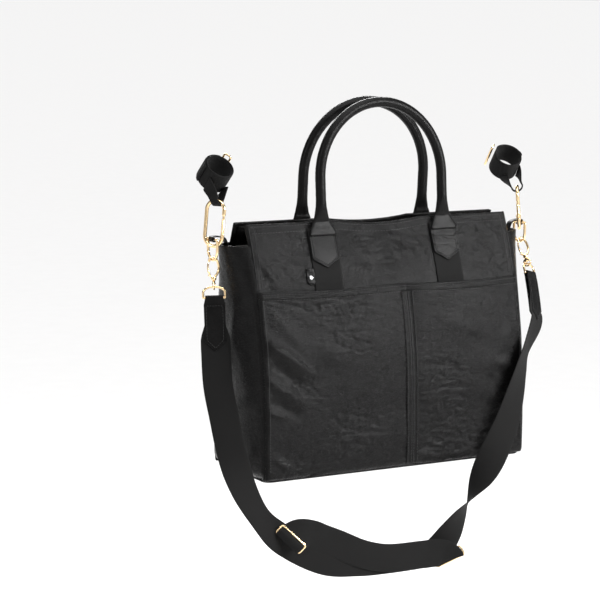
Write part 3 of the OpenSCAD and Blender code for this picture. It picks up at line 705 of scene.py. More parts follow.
def makeHook(k):
    side, sideName = ("Left", "Right")[k], ("left", "right")[k]
    drop = strap["hookDrop"] / mm
    almond = np.array([(-5.6, 0, 0), (-5.2, 0, 1.6), (-3.3, 0, 3.3), (0, 0, 4.6), (3.3, 0, 3.3), (5.6, 0, 0),
                       (7.2, 0, -4.5), (7.8, 0, -9), (7, 0, -13.5), (4.8, 0, -17.5), (2, 0, -20.5)]) * mm
    lowered = np.array([0, 0, -0.0006])
    normal = chainDirection([0, 1.0, 0], k)
    path = curveThrough(almond, 6)
    grid = wireGrid(onChain(path + lowered, k, drop), hook["wire"], normal, False, 18)
    eye = tube("snapHook" + side, grid, gold)
    # body under the eye: a turned shape of waisted rings, then the swivel stem
    profile = np.array([(0.2, -19.6), (2.6, -19.8), (3.3, -20.6), (3.5, -22), (3.4, -24), (2.9, -25),
                        (1.6, -25.3), (1.5, -26), (1.5, -28.8), (2.6, -29.0), (2.6, -30.2), (1.6, -30.6),
                        (0.2, -30.7)]) * mm
    bodyObj = tube("hookBody" + side, onChain(turnedShape(profile, 24) + lowered, k, drop), gold)
    # fork for the trigger: two cheeks with a pin across them
    cheeks = []
    for s in (-1, 1):
        slab = curveThrough(np.array([(-6.6, s * 1.6, -18.4), (-4.6, s * 1.6, -19.4), (-2.2, s * 1.6, -20.6),
                                      (0.5, s * 1.5, -21.6)]) * mm, 5)
        fat = np.linspace(0.0011, 0.0019, len(slab)) * 0.6
        cheek = wireGrid(onChain(slab + lowered, k, drop), fat, normal, False, 12)
        cheeks.append(tube("hookCheek" + side + ("A", "B")[s > 0], cheek, gold))
    pin = np.array([(-4.4, -2.1, -19.4), (-4.4, 0, -19.4), (-4.4, 2.1, -19.4)]) * mm + lowered
    across = chainDirection([1.0, 0, 0], k)
    pinObj = tube("hookPin" + side, wireGrid(onChain(pin, k, drop), 0.0007, across, False, 14), gold)
    finishPiece(eye, "hook_" + sideName, ["snap_hook_" + sideName])
    for piece in [bodyObj, pinObj] + cheeks:
        finishPiece(piece, "hook_" + sideName)
    # trigger: a thinner bow with a small thumb pad
    bow = curveThrough(np.array([(-6.9, 0, -3.2), (-7.4, 0, -5.6), (-7.6, 0, -9), (-6.8, 0, -13.5),
                                 (-5.4, 0, -17), (-4.5, 0, -19.2)]) * mm, 6)
    fat = hook["trigger"] + 0.0005 * np.exp(-((np.linspace(0, 1, len(bow)) - 0.62) / 0.1) ** 2)
    grid = wireGrid(onChain(bow + lowered, k, drop), fat, normal, False, 16)
    bowObj = tube("hookTrigger" + side, grid, gold)
    finishPiece(bowObj, "trigger_" + sideName, ["hook_trigger_" + sideName])
    # stirrup that turns on the stem
    turn = (-1, 1)[k] * strap["endTurn"]
    a = np.linspace(0, 2 * math.pi, 40, endpoint=False)
    loop = np.stack([0 * a, 0.0052 * np.cos(a), -0.0318 + 0.0046 * np.sin(a)], 1) + lowered
    flatNormal = chainDirection([1.0, 0, 0], k, turn)
    thick = 0.0011 + 0.0009 * np.clip(np.sin(a), 0, 1) ** 3
    grid = wireGrid(onChain(loop, k, drop, turn), thick, flatNormal, True, 16)
    stirrup = tube("swivelEye" + side, grid, gold, True)
    finishPiece(stirrup, "shoulder_strap", ["swivel_eye_" + sideName])
    strapPieces.append(stirrup)


for k in (0, 1):
    makeHook(k)

print("strap length", round(pathLength(strapPath), 4), "double layer", round(pathLength(doublePath), 4))

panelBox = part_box("front_panel")
shell = dict(
    halfWidth=panelBox[1].x + 0.0003, height=0.322, baseZ=-0.354, topDepth=0.019, baseDepth=0.073, curve=2.6,
    panelThick=0.003, edgeRound=0.006, bottomRound=0.010, gussetDrop=0.026, gussetBow=0.026,
    dipRadius=0.400, dipRise=0.395, pipingRadius=0.0018)


def halfDepth(h):
    # top depth plus what the sides gain below: 1 minus the height share to the 2.6th power
    s = np.clip(h / shell["height"], 0, 1)
    return shell["topDepth"] + (shell["baseDepth"] - shell["topDepth"]) * (1 - s ** shell["curve"])


def ridge(x, h, folds):
    # sum of soft ridges: each is a Gaussian of the distance to a line from end to end
    total = np.zeros(np.broadcast(x, h).shape)
    for x0, h0, x1, h1, wide, high in folds:
        dx, dh = x1 - x0, h1 - h0
        t = ((x - x0) * dx + (h - h0) * dh) / (dx * dx + dh * dh)
        tc = np.clip(t, 0, 1)
        away = np.hypot(x - x0 - tc * dx, h - h0 - tc * dh)
        total += high * np.exp(-(away / wide) ** 2) * (0.35 + 0.65 * np.sin(tc * math.pi) ** 0.7)
    return total


def creases(x, h, seed, amount=1.0):
    # worn-leather creases: noise folded at its middle value and sharpened, stretched sideways
    bend = 0.010 * (noise2(x / 0.055, h / 0.055, seed) - 0.5)
    tilted = h + bend + 0.12 * x
    first = 1 - np.abs(2 * noise2(x / 0.020 + 9, tilted / 0.0060 + 5, seed + 1) - 1)
    second = 1 - np.abs(2 * noise2(x / 0.010 + 3, tilted / 0.0036 + 8, seed + 2) - 1)
    where = smoothstep((noise2(x / 0.07 + 2, h / 0.06 + 1, seed + 3) - 0.25) / 0.5)
    broad = noise2(x / 0.060 + 4, h / 0.040 + 6, seed + 4) - 0.5
    fine = noise2(x / 0.0065 + 7, tilted / 0.0030 + 2, seed + 5) - 0.5
    return amount * (-0.0012 * first ** 6 * where - 0.0006 * second ** 5 * (0.3 + 0.7 * where)
                     + 0.0030 * broad + 0.0009 * fine * (0.3 + 0.7 * where))


panelFolds = [
    (-0.194, 0.290, -0.165, 0.246, 0.007, 0.0028), (-0.178, 0.300, -0.140, 0.262, 0.010, 0.0012),
    (-0.060, 0.300, -0.020, 0.262, 0.012, 0.0022), (0.000, 0.306, 0.022, 0.256, 0.013, 0.0030),
    (0.045, 0.296, 0.058, 0.256, 0.011, 0.0020), (-0.045, 0.262, 0.050, 0.252, 0.010, -0.0016),
    (0.128, 0.300, 0.160, 0.262, 0.010, 0.0020), (0.165, 0.306, 0.188, 0.262, 0.008, 0.0018),
    (-0.120, 0.286, -0.112, 0.250, 0.007, 0.0010)]
backFolds = [
    (-0.15, 0.25, -0.09, 0.20, 0.011, 0.0026), (0.02, 0.28, 0.06, 0.21, 0.013, 0.0026),
    (0.13, 0.21, 0.18, 0.17, 0.009, 0.0022), (-0.18, 0.13, -0.12, 0.09, 0.010, 0.0024),
    (0.05, 0.12, 0.13, 0.10, 0.012, 0.0018), (-0.04, 0.17, 0.02, 0.12, 0.013, 0.0018)]


def panelTop(x):
    # the mouth dips on a large circle between the handles
    dip = shell["dipRise"] - np.sqrt(np.clip(shell["dipRadius"] ** 2 - x * x, 0, None))
    return shell["height"] + np.minimum(0, dip)


def panelDepth(x, h, folds, seed):
    # depth of the outer face in front of the bag's middle plane
    half = shell["halfWidth"]
    edge = np.clip((np.abs(x) - (half - shell["edgeRound"])) / shell["edgeRound"], 0, 1)
    foot = np.clip((shell["bottomRound"] - h) / shell["bottomRound"], 0, 1)
    recede = 0.0042 * (1 - np.sqrt(1 - 0.97 * edge ** 2)) + 0.0055 * (1 - np.sqrt(1 - 0.97 * foot ** 2))
    calm = np.clip((half - np.abs(x)) / 0.02, 0.25, 1) * np.clip((panelTop(x) - h) / 0.015, 0.15, 1)
    slack = 0.0022 * np.cos(x / half * math.pi / 2) * np.sin(np.clip(h / 0.3, 0, 1) * math.pi)
    calm = calm * (1 - 0.8 * np.exp(-((np.abs(x) - 0.092) / 0.022) ** 4) * smoothstep((h - 0.245) / 0.02))
    return halfDepth(h) - recede + slack + calm * (ridge(x, h, folds) + creases(x, h, seed))


def makePanel(name, node, side, folds, seed):
    x = np.linspace(-shell["halfWidth"] + 0.0004, shell["halfWidth"] - 0.0004, 180)[None, :]
    v = np.linspace(0, 1, 148)[:, None]
    h = 0.0008 + (panelTop(x) - 0.0008) * v
    x = x + 0 * h
    y = side * panelDepth(x * side * -1, h, folds, seed)
    grid = np.stack([x, y, shell["baseZ"] + h], -1)
    panel = plate(name, grid, shell["panelThick"], leather, (0, side, 0))
    return finishPiece(panel, "bag", [node])


makePanel("frontPanel", "front_panel", -1, panelFolds, 11)
makePanel("backPanel", "back_panel", 1, backFolds, 47)


def gussetX(y, h, depth):
    # bows out between the seams by a share that grows with height, quickest near the base and the top
    top = shell["height"] - shell["gussetDrop"]
    v = y / depth
    s = np.clip(h / top, 0, 1)
    bow = shell["gussetBow"] * (0.3 + 0.45 * np.sqrt(s) + 0.25 * s ** 6)
    foot = np.clip((0.014 - h) / 0.014, 0, 1)
    return shell["halfWidth"] + bow * (1 - np.abs(v) ** 2.6) - 0.008 * foot ** 2


gussetFolds = [
    (-0.05, 0.10, 0.01, 0.07, 0.010, 0.0026), (0.0, 0.15, 0.05, 0.11, 0.012, 0.0026),
    (-0.03, 0.22, 0.0, 0.14, 0.011, 0.0022), (0.03, 0.06, 0.06, 0.02, 0.008, 0.0022),
    (-0.06, 0.045, -0.03, 0.012, 0.008, 0.0022)]


def makeGusset(name, node, side):
    v = np.linspace(-1, 1, 96)[None, :]
    top = shell["height"] - shell["gussetDrop"]
    h = 0.0026 + (top - 0.0026) * np.linspace(0, 1, 150)[:, None]
    depth = halfDepth(h) - 0.0008
    y = v * depth
    calm = np.clip((1 - np.abs(v)) / 0.25, 0, 1) * np.clip((top - h) / 0.02, 0.2, 1)
    x = gussetX(y, h, depth) + calm * (ridge(y, h, gussetFolds) + creases(y + 0.3, h + 0.2, 23 + side, 0.8))
    edge = np.clip((np.abs(v) - 0.93) / 0.07, 0, 1)
    x = x - 0.003 * edge ** 2
    grid = mirrored(np.stack([x, y, shell["baseZ"] + h + 0 * x], -1), side)
    gusset = plate(name, grid, 0.0022, leather, (side, 0, 0))
    return finishPiece(gusset, "bag", [node])


makeGusset("gussetLeft", "gusset_left", -1)
makeGusset("gussetRight", "gusset_right", 1)


def makeBase():
    # base sheet: sags a little between rounded corners; sides stay under the walls
    x = np.linspace(-1, 1, 90)[None, :] * (shell["halfWidth"] - 0.003)
    y = np.linspace(-1, 1, 44)[:, None] * (shell["baseDepth"] - 0.005)
    u, w = x / x.max(), y / y.max()
    sag = 0.0018 * (1 - u ** 4) * (1 - w ** 4)
    rise = 0.004 * (np.abs(u) ** 30 + np.abs(w) ** 14)
    z = shell["baseZ"] + 0.0008 - sag + rise + creases(x + 0.1, y + 0.4, 71, 0.35)
    base = plate("basePanel", np.stack([x + 0 * y, y + 0 * x, z], -1), 0.0022, leather, (0, 0, -1))
    finishPiece(base, "bag", ["base_panel"])
    half, deep, corner = shell["halfWidth"] - 0.004, shell["baseDepth"] - 0.0045, 0.010
    outline = roundedRectangle(half - corner, deep - corner, corner, 10)
    ring = np.insert(outline, 2, shell["baseZ"] - 0.0005, axis=1)
    ring = evenly(np.vstack([ring, ring[:1]]), 0.004)[:-1]
    piping = tube("basePiping", wireGrid(ring, shell["pipingRadius"], (0, 0, 1), True, 14), softLeather, True)
    finishPiece(piping, "bag", ["base_piping"])


makeBase()
print("shell ready")

pocket = dict(
    height=0.239, skin=0.0016, leftGape=0.0055, rightGape=0.0085, stripWidth=0.017, stripX=0.020, hem=0.009)
pocketFolds = [
    (-0.190, 0.178, -0.136, 0.138, 0.0080, 0.0046), (-0.191, 0.128, -0.143, 0.099, 0.0076, 0.0044),
    (-0.184, 0.218, -0.136, 0.163, 0.0100, 0.0018), (-0.190, 0.088, -0.166, 0.081, 0.0040, 0.0022),
    (-0.120, 0.165, -0.080, 0.150, 0.0120, 0.0016), (-0.075, 0.200, -0.030, 0.170, 0.0120, 0.0012),
    (-0.192, 0.157, -0.146, 0.120, 0.0070, -0.0022), (-0.192, 0.106, -0.150, 0.082, 0.0070, -0.0020),
    (0.150, 0.130, 0.186, 0.118, 0.0080, 0.0028), (0.070, 0.190, 0.130, 0.170, 0.0120, 0.0014),
    (0.100, 0.105, 0.150, 0.080, 0.0130, 0.0016), (-0.186, 0.030, -0.160, 0.012, 0.0050, 0.0022),
    (0.030, 0.120, 0.060, 0.070, 0.0120, 0.0012)]


def pocketGape(x, h):
    # each half stands off like a sine between its seams, more towards its top edge
    half, middle = shell["halfWidth"] - 0.002, pocket["stripX"]
    t = np.clip(np.abs(x - middle) / np.where(x < middle, half + middle, half - middle), 0, 1)
    most = np.where(x < middle, pocket["leftGape"], pocket["rightGape"])
    return most * np.sin(math.pi * t ** 0.9) ** 0.7 * np.clip(h / pocket["height"], 0, 1) ** 1.6


def pocketDepth(x, h, detail=1.0):
    half = shell["halfWidth"] - 0.002
    edge = np.clip((np.abs(x) - (half - 0.005)) / 0.005, 0, 1)
    foot = np.clip((0.009 - h) / 0.009, 0, 1)
    recede = 0.0030 * (1 - np.sqrt(1 - 0.97 * edge ** 2)) + 0.0050 * (1 - np.sqrt(1 - 0.97 * foot ** 2))
    calm = np.clip((half - np.abs(x)) / 0.010, 0.2, 1) * np.clip((pocket["height"] - h) / 0.014, 0.12, 1)
    valley = -0.0014 * np.exp(-((x - pocket["stripX"]) / 0.014) ** 2)
    slack = 0.0022 * np.cos(np.clip(x / half, -1, 1) * math.pi / 2) * np.sin(np.clip(h / 0.3, 0, 1) * math.pi)
    rough = detail * calm * (ridge(x, h, pocketFolds) + creases(x, h, 31, 1.15))
    return halfDepth(h) + slack + pocketGape(x, h) + 0.0024 - recede + valley + rough


def pocketSlope(x, h):
    eps = 0.002
    return (pocketDepth(x, h + eps, 0) - pocketDepth(x, h - eps, 0)) / (2 * eps)


def pocketPoint(x, h, out=0.0, detail=1.0):
    # a point on the pocket cloth, moved out along its normal in the bag's section
    slope = pocketSlope(x, h)
    size = np.sqrt(1 + slope ** 2)
    d = pocketDepth(x, h, detail)
    return np.stack(np.broadcast_arrays(x, -(d + out / size), shell["baseZ"] + h - slope * out / size), -1)


def pocketNormal(x, h):
    slope = pocketSlope(x, h)
    return unit(np.stack(np.broadcast_arrays(0 * x, -np.ones_like(slope), -slope), -1))


def pocketTop(x):
    # the free edge falls a little in the middle of each half
    t = np.abs(x) / shell["halfWidth"]
    return pocket["height"] - 0.0015 * np.sin(math.pi * np.clip(t, 0, 1)) ** 2


def makePocket():
    half = shell["halfWidth"] - 0.002
    x = np.linspace(-half, half, 200)[None, :]
    top = pocketTop(x)
    h = 0.0015 + (top - 0.0015) * np.linspace(0, 1, 128)[:, None]
    grid = pocketPoint(x + 0 * h, h)
    cloth = plate("frontPocket", grid, pocket["skin"], leather, (0, -1, 0))
    finishPiece(cloth, "bag", ["front_pocket"])
    # hem: a folded band with a rolled top edge
    v = np.linspace(0, 1, 14)[:, None]
    x = np.linspace(-half + 0.0008, half - 0.0008, 200)[None, :]
    hemH = pocketTop(x) + 0.0006 - pocket["hem"] * (1 - v)
    swell = 0.0009 + 0.0007 * np.sin(np.clip(v * 2.2 - 1.35, 0, 1) * math.pi) + 0.0003 * np.sin(v * math.pi)
    hem = plate("pocketHem", pocketPoint(x + 0 * v, hemH, swell, 0.6), 0.0012, leather, (0, -1, 0))
    finishPiece(hem, "bag", ["pocket_hem"])
    # centre strip: covers the felled seam from the hem to the foot
    u = np.linspace(-1, 1, 17)[None, :]
    v = np.linspace(0, 1, 110)[:, None]
    sx = pocket["stripX"] + u * pocket["stripWidth"] / 2 + 0 * v
    sh = 0.004 + (pocket["height"] - pocket["hem"] - 0.0045) * v + 0 * u
    puff = 0.0009 + 0.00024 * np.cos(u * math.pi * 2.0) + 0 * v
    strip = plate("pocketStrip", pocketPoint(sx, sh, puff, 0.7), 0.0010, leather, (0, -1, 0))
    finishPiece(strip, "bag", ["pocket_strip"])
    # stitching: two rows on the hem, four on the strip, one inside each side seam
    rows = []
    line = np.linspace(-half + 0.004, half - 0.004, 300)
    for drop, out in ((0.0026, 0.0016), (pocket["hem"] + 0.0006, 0.0002)):
        height = pocketTop(line) - drop
        rows.append(stitchShapes(pocketPoint(line, height, out, 0.6), pocketNormal(line, height)))
    up = np.linspace(0.006, pocket["height"] - pocket["hem"] - 0.002, 260)
    for off in pocket["stripX"] + np.array([-0.0070, -0.0016, 0.0016, 0.0070]):
        rows.append(stitchShapes(pocketPoint(off + 0 * up, up, 0.0012, 0.7), pocketNormal(off + 0 * up, up)))
    up = np.linspace(0.012, pocket["height"] - 0.004, 260)
    for off in (-half + 0.0052, half - 0.0052):
        rows.append(stitchShapes(pocketPoint(off + 0 * up, up, 0.0002, 1.0), pocketNormal(off + 0 * up, up)))
    finishPiece(joinRows("pocketStitching", rows, thread), "bag")


makePocket()


def faceSlope(h):
    eps = 0.002
    return (halfDepth(h + eps) - halfDepth(h - eps)) / (2 * eps)


def facePoint(x, h, side, out):
    # a point on the outer face of a panel, moved out along its normal
    folds, seed = (panelFolds, 11) if side < 0 else (backFolds, 47)
    slope = faceSlope(h)
    size = np.sqrt(1 + slope ** 2)
    y = side * (panelDepth(x * side * -1, h, folds, seed) + out / size)
    return np.stack(np.broadcast_arrays(x, y, shell["baseZ"] + h - slope * out / size), -1)


def faceNormal(x, h, side):
    slope = faceSlope(h)
    return unit(np.stack(np.broadcast_arrays(0 * x, side * np.ones_like(slope), -slope), -1))


def makeTopEdge(side, name):
    # double row along the mouth and down both upright edges of a panel
    half = shell["halfWidth"]
    x = np.linspace(-half + 0.006, half - 0.006, 300)
    rows = []
    for drop in (0.0024, 0.0102):
        height = panelTop(x) - drop
        rows.append(stitchShapes(facePoint(x, height, side, 0.0001), faceNormal(x, height, side)))
    low = pocket["height"] + 0.006 if side < 0 else 0.012
    up = np.linspace(low, shell["height"] - 0.004, 200)
    for s in (-1, 1):
        for inset in (0.0036, 0.0100):
            xs = s * (half - inset) + 0 * up
            rows.append(stitchShapes(facePoint(xs, up, side, 0.0001), faceNormal(xs, up, side)))
    finishPiece(joinRows(name, rows, thread), "bag")


makeTopEdge(-1, "frontStitching")
makeTopEdge(1, "backStitching")
print("pocket and seams ready")

inner = dict(facingDrop=0.030, slipHalf=0.11, slipLow=0.10, slipTop=0.222)


def slipDepth(x, h, inset):
    # the slip pocket stands off the back wall by a sine of the height times a cosine across
    t = np.clip((h - inner["slipLow"]) / (inner["slipTop"] - inner["slipLow"]), 0, 1)
    return halfDepth(h) - inset - 0.0022 * np.sin(t * 1.6) * np.cos(x / inner["slipHalf"] * math.pi / 2)


def makeInside():
    for side, name, node in ((-1, "facingFront", "facing_front"), (1, "facingBack", "facing_back")):
        x = np.linspace(-1, 1, 90)[None, :] * (shell["halfWidth"] - 0.008)
        top = panelTop(x) - 0.004
        h = top - inner["facingDrop"] + 0.004 + (inner["facingDrop"] - 0.004) * np.linspace(0, 1, 16)[:, None]
        grid = facePoint(x + 0 * h, h, side, -shell["panelThick"] - 0.0003)
        facing = plate(name, grid[:, ::-1], 0.0012, leather, (0, side, 0))
        finishPiece(facing, "bag", [node])
    # lining: an open-topped sack that follows the walls
    top = shell["height"] - shell["gussetDrop"] - 0.004
    a = np.linspace(0, 2 * math.pi, 220, endpoint=False)[None, :]
    v = np.linspace(0, 1, 90)[:, None]
    h = 0.0056 + (top - 0.0056) * v
    corner = 0.16
    cx, cy = np.cos(a), np.sin(a)
    power = np.maximum(np.abs(cx), np.abs(cy))
    box = np.stack([cx / power, cy / power], -1)
    soft = box * (1 - corner * np.clip(np.abs(box[..., :1] * box[..., 1:]), 0, 1) ** 12)
    wide = shell["halfWidth"] - 0.0045
    deep = halfDepth(h) - shell["panelThick"] - 0.0006
    slack = 0.0015 * noise2(a * 6 + 0 * v, h / 0.03 + 0 * a, 91)
    x = soft[..., 0] * (wide - slack)
    y = soft[..., 1] * (deep - slack)
    walls = np.stack([x, y, shell["baseZ"] + h + 0 * a], -1)
    floor = walls[0] * np.array([0, 0, 1.0])
    rings = [floor * (1 - t) + walls[0] * t for t in (0.02, 0.3, 0.6, 0.85)]
    outer = np.vstack([np.stack(rings), walls])
    innerSkin = outer.copy()
    innerSkin[..., 0] *= 0.996
    innerSkin[..., 1] *= 0.985
    innerSkin[:, :, 2] += np.where(np.arange(len(outer)) < 5, 0.0008, 0.0)[:, None]
    skin = np.vstack([outer, innerSkin[::-1]])
    sack = tube("liningSack", skin, lining)
    finishPiece(sack, "bag", ["lining"])
    # slip pocket on the back wall of the lining
    x = np.linspace(-inner["slipHalf"], inner["slipHalf"], 50)[None, :]
    h = np.linspace(inner["slipLow"], inner["slipTop"], 30)[:, None]
    grid = np.stack(np.broadcast_arrays(x, slipDepth(x, h, 0.0058), shell["baseZ"] + h), -1)
    slip = plate("slipPocket", grid, 0.001, lining, (0, 1, 0))
    finishPiece(slip, "bag", ["slip_pocket"])
    rows = []
    for path in ([(-0.107, 0.218), (-0.107, 0.104), (0.107, 0.104), (0.107, 0.218)],
                 [(-0.108, 0.214), (0.108, 0.214)]):
        line = evenly(np.array(path), 0.002)
        x, h = line[:, 0], line[:, 1]
        rows.append(stitchShapes(np.stack([x, slipDepth(x, h, 0.0070), shell["baseZ"] + h], 1), (0, -1, 0)))
    finishPiece(joinRows("slipStitching", rows, thread), "bag")
    # magnetic snaps: turned discs, a nose on the front one and a cup in the back one
    for side, name, node in ((-1, "snapFront", "snap_front"), (1, "snapBack", "snap_back")):
        nose = [(0.1, 3.6), (2.4, 3.6), (3.0, 3.1), (3.1, 2.1), (4.2, 1.9), (7.4, 1.8), (8.0, 1.2), (8.0, 0),
                (0.1, 0)]
        cup = [(0.1, 0.9), (3.2, 0.9), (3.4, 2.0), (4.0, 2.2), (7.4, 2.0), (8.0, 1.3), (8.0, 0), (0.1, 0)]
        disc = turnedShape(np.array(nose if side < 0 else cup) * mm, 40)
        lo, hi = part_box(node)
        centre = np.array([0, (lo.y + hi.y) / 2, (lo.z + hi.z) / 2])
        disc = np.stack([disc[..., 0], -side * (disc[..., 2] - 0.0012), disc[..., 1]], -1) + centre
        finishPiece(tube(name, disc, gold), "bag", [node])


makeInside()

handle = dict(
    span=0.184, rise=0.153, diameter=0.0134, legHeight=0.050, lean=4.0, hingeY=0.0264, hingeZ=-0.026,
    tabWidth=0.038, tabTip=0.266, tabTop=0.3115, webThick=0.0014, tabThick=0.0018, seamTop=0.3075,
    stripTop=0.314, stripLow=(0.212, 0.006), stitch=(0.0034, 0.0026, 0.00032),
    flareDrop=(0.004, 0.012, 0.025, 0.036, 0.044), flareShare=(0.0, 0.06, 0.31, 0.66, 1.0))


def handlePath():
    # straight legs, then half an ellipse, all leaning towards the bag's middle
    half, leg = handle["span"] / 2, handle["legHeight"]
    a = np.radians(np.linspace(0, 180, 73))
    arch = np.stack([half * np.cos(a), 0 * a, leg + (handle["rise"] - leg - 0.006) * np.sin(a)], 1)
    legUp = np.stack([np.full(14, half), np.zeros(14), np.linspace(0, leg, 15)[:-1]], 1)
    legDown = legUp[::-1] * np.array([-1, 1, 1])
    return np.vstack([legUp, arch, legDown])


def makeHandle(side, name, node):
    lean = math.radians(handle["lean"])
    p = handlePath()
    y = -handle["hingeY"] + p[:, 2] * math.sin(lean)
    z = handle["hingeZ"] + p[:, 2] * math.cos(lean)
    upper = np.stack([p[:, 0], y, z], 1)
    # feet: the roll opens into a flat tongue that lies on the tab
    h = np.linspace(0.3035, 0.324, 12)
    out = handle["webThick"] + handle["tabThick"] + 0.0018
    foot = facePoint(handle["span"] / 2 + 0 * h, h, -1, out)
    foot[:, 1] = np.linspace(foot[0, 1], -handle["hingeY"] - 0.0004, 12) * 0.5 + foot[:, 1] * 0.5
    left = foot[::-1] * np.array([-1, 1, 1])
    path = evenly(np.vstack([foot, upper, left]), 0.0024)
    height = path[:, 2]
    flare = np.interp(-height, handle["flareDrop"], handle["flareShare"])
    wide = handle["diameter"] / 2 + (handle["tabWidth"] / 2 - 0.0003 - handle["diameter"] / 2) * flare
    deep = handle["diameter"] / 2 + (0.0016 - handle["diameter"] / 2) * smoothstep((-0.004 - height) / 0.034)
    tangent = unit(np.gradient(path, axis=0))
    front = np.broadcast_to(np.array([0, -1.0, 0]), path.shape)
    sideways = unit(np.cross(tangent, front))
    front = unit(np.cross(sideways, tangent))
    a = np.linspace(0, 2 * math.pi, 40, endpoint=False)
    # flattened ends use a squarer outline: powers of sine and cosine below one
    square = 1 - 0.55 * flare[:, None]
    ca, sa = np.cos(a)[None, :], np.sin(a)[None, :]
    cx = np.sign(ca) * np.abs(ca) ** square
    sy = np.sign(sa) * np.abs(sa) ** square
    run = np.arange(len(path))[:, None]
    wrinkle = noise2(run * 0.9 + 0 * a, a[None, :] * 1.2 + 0 * run, 61) - 0.5
    wrinkle = 0.00018 * wrinkle * (1 + 2 * flare[:, None])
    seamLine = -0.0006 * np.exp(-((a[None, :] - 1.5 * math.pi) / 0.10) ** 2)
    rx = wide[:, None] * cx + wrinkle * cx
    ry = deep[:, None] * sy * (1 + seamLine / handle["diameter"] * 2) + wrinkle * sy
    grid = path[:, None, :] + sideways[:, None, :] * rx[..., None] + front[:, None, :] * ry[..., None]
    grid[..., 1] *= -side
    obj = tube(name, grid, softLeather)
    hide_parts(node)
    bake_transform(obj)
    return obj


makeHandle(-1, "handleFront", "handle_front")
makeHandle(1, "handleBack", "handle_back")


def makeTab(x0, side, name, node):
    # shield: straight sides, a shallow point below, a rim pressed up round its edge
    u = np.linspace(-1, 1, 41)[None, :]
    v = np.linspace(0, 1, 52)[:, None]
    half = handle["tabWidth"] / 2
    tip = handle["tabTip"] + 0.010 * np.clip(np.abs(u) * 1.06 - 0.06, 0, 1)
    h = tip + (handle["tabTop"] - tip) * v
    x = x0 + half * u + 0 * v
    rim = 0.00045 * np.maximum(np.exp(-((1 - np.abs(u)) / 0.05) ** 2), np.exp(-((h - tip) / 0.0012) ** 2))
    puff = 0.0004 * (1 - u ** 2) * np.sin(v * math.pi)
    out = handle["webThick"] + handle["tabThick"] + 0.0004 + rim + puff
    tab = plate(name, facePoint(x, h, side, out), handle["tabThick"], softLeather, (0, side, 0))
    finishPiece(tab, "bag", [node])
    inset = half - 0.0028
    low = handle["tabTip"]
    line = evenly(np.array([(-inset, handle["seamTop"]), (-inset, low + 0.0118), (0, low + 0.0034),
                            (inset, low + 0.0118), (inset, handle["seamTop"])]), 0.0015)
    lift = handle["webThick"] + handle["tabThick"] + 0.0009
    rows = [stitchShapes(facePoint(x0 + line[:, 0], line[:, 1], side, lift),
                         faceNormal(line[:, 0], line[:, 1], side), *handle["stitch"])]
    bar = np.linspace(-inset, inset, 30)
    for height, more in ((0.3062, 0.0001), (0.3105, 0.0022)):
        rows.append(stitchShapes(facePoint(x0 + bar, height + 0 * bar, side, lift + more),
                                 faceNormal(bar, height + 0 * bar, side), *handle["stitch"]))
    finishPiece(joinRows(name + "Stitching", rows, thread), "bag")


def makeStrip(x0, side, low, name, node):
    u = np.linspace(-1, 1, 15)[None, :]
    v = np.linspace(0, 1, 60)[:, None]
    h = low + (handle["stripTop"] - low) * v + 0 * u
    x = x0 + (handle["tabWidth"] / 2 + 0.0006) * u + 0 * v
    grid = facePoint(x, h, side, handle["webThick"] + 0.0002)
    strip = plate(name, grid, handle["webThick"], webbing, (0, side, 0))
    finishPiece(strip, "bag", [node])


halfSpan = handle["span"] / 2
for sign, word in ((-1, "Left"), (1, "Right")):
    low = word.lower()
    makeTab(sign * halfSpan, -1, "tabFront" + word, "tab_front_" + low)
    makeTab(sign * halfSpan, 1, "tabBack" + word, "tab_back_" + low)
    makeStrip(sign * halfSpan, -1, handle["stripLow"][0], "stripFront" + word, "strip_front_" + low)
    makeStrip(sign * halfSpan, 1, handle["stripLow"][1], "stripBack" + word, "strip_back_" + low)


def makeLabel():
    # small plain tag with a round rivet, beside the left handle's strip
    lo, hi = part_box("label_tag")
    x0, h0 = (lo.x + hi.x) / 2, lo.z - shell["baseZ"] - 0.002
    u = np.linspace(-1, 1, 17)[None, :]
    v = np.linspace(0, 1, 22)[:, None]
    x = x0 + 0.005 * u * (1 - 0.10 * np.clip(1 - v / 0.2, 0, 1)) + 0 * v
    h = h0 + 0.0018 * np.clip(1 - v / 0.2, 0, 1) * u ** 2 + 0.020 * v
    tag = plate("labelTag", facePoint(x, h, -1, 0.0017), 0.0014, softLeather, (0, -1, 0))
    finishPiece(tag, "bag", ["label_tag"])
    shape = np.array([(0.05, 0.95), (1.6, 0.85), (2.6, 0.5), (3.0, 0.0), (0.05, -0.1)]) * mm
    centre = facePoint(np.array(x0), np.array(h0 + 0.009), -1, 0.0018)
    n = faceNormal(np.array(x0), np.array(h0 + 0.009), -1)
    upward = np.cross([1.0, 0, 0], n)
    disc = centre + turnedShape(shape, 32) @ np.array([[1.0, 0, 0], upward, n])
    finishPiece(tube("labelRivet", disc, nickel), "bag", ["label_rivet"])


makeLabel()
print("handles ready")

link = dict(height=0.058, width=0.025, wire=0.0024, turn=55.0, lean=5.0, gateLow=-0.039, gateHigh=-0.017,
            ringWire=0.0018, ringHalf=0.013, beltWidth=0.0105, beltThick=0.0019)
link["topX"] = strap["sideX"] - link["height"] * math.sin(math.radians(link["lean"]))


def onLink(points, side):
    # link frame: turned about its height to face the handlebar, then leaned
    p = np.asarray(points, float)
    t, b = math.radians(link["turn"] + 180), math.radians(-link["lean"])
    x = p[..., 0] * math.cos(t) - p[..., 1] * math.sin(t)
    y = p[..., 0] * math.sin(t) + p[..., 1] * math.cos(t)
    z = p[..., 2]
    x2, z2 = x * math.cos(b) + z * math.sin(b), -x * math.sin(b) + z * math.cos(b)
    return mirrored(np.stack([x2 + link["topX"], y, z2], -1), side)


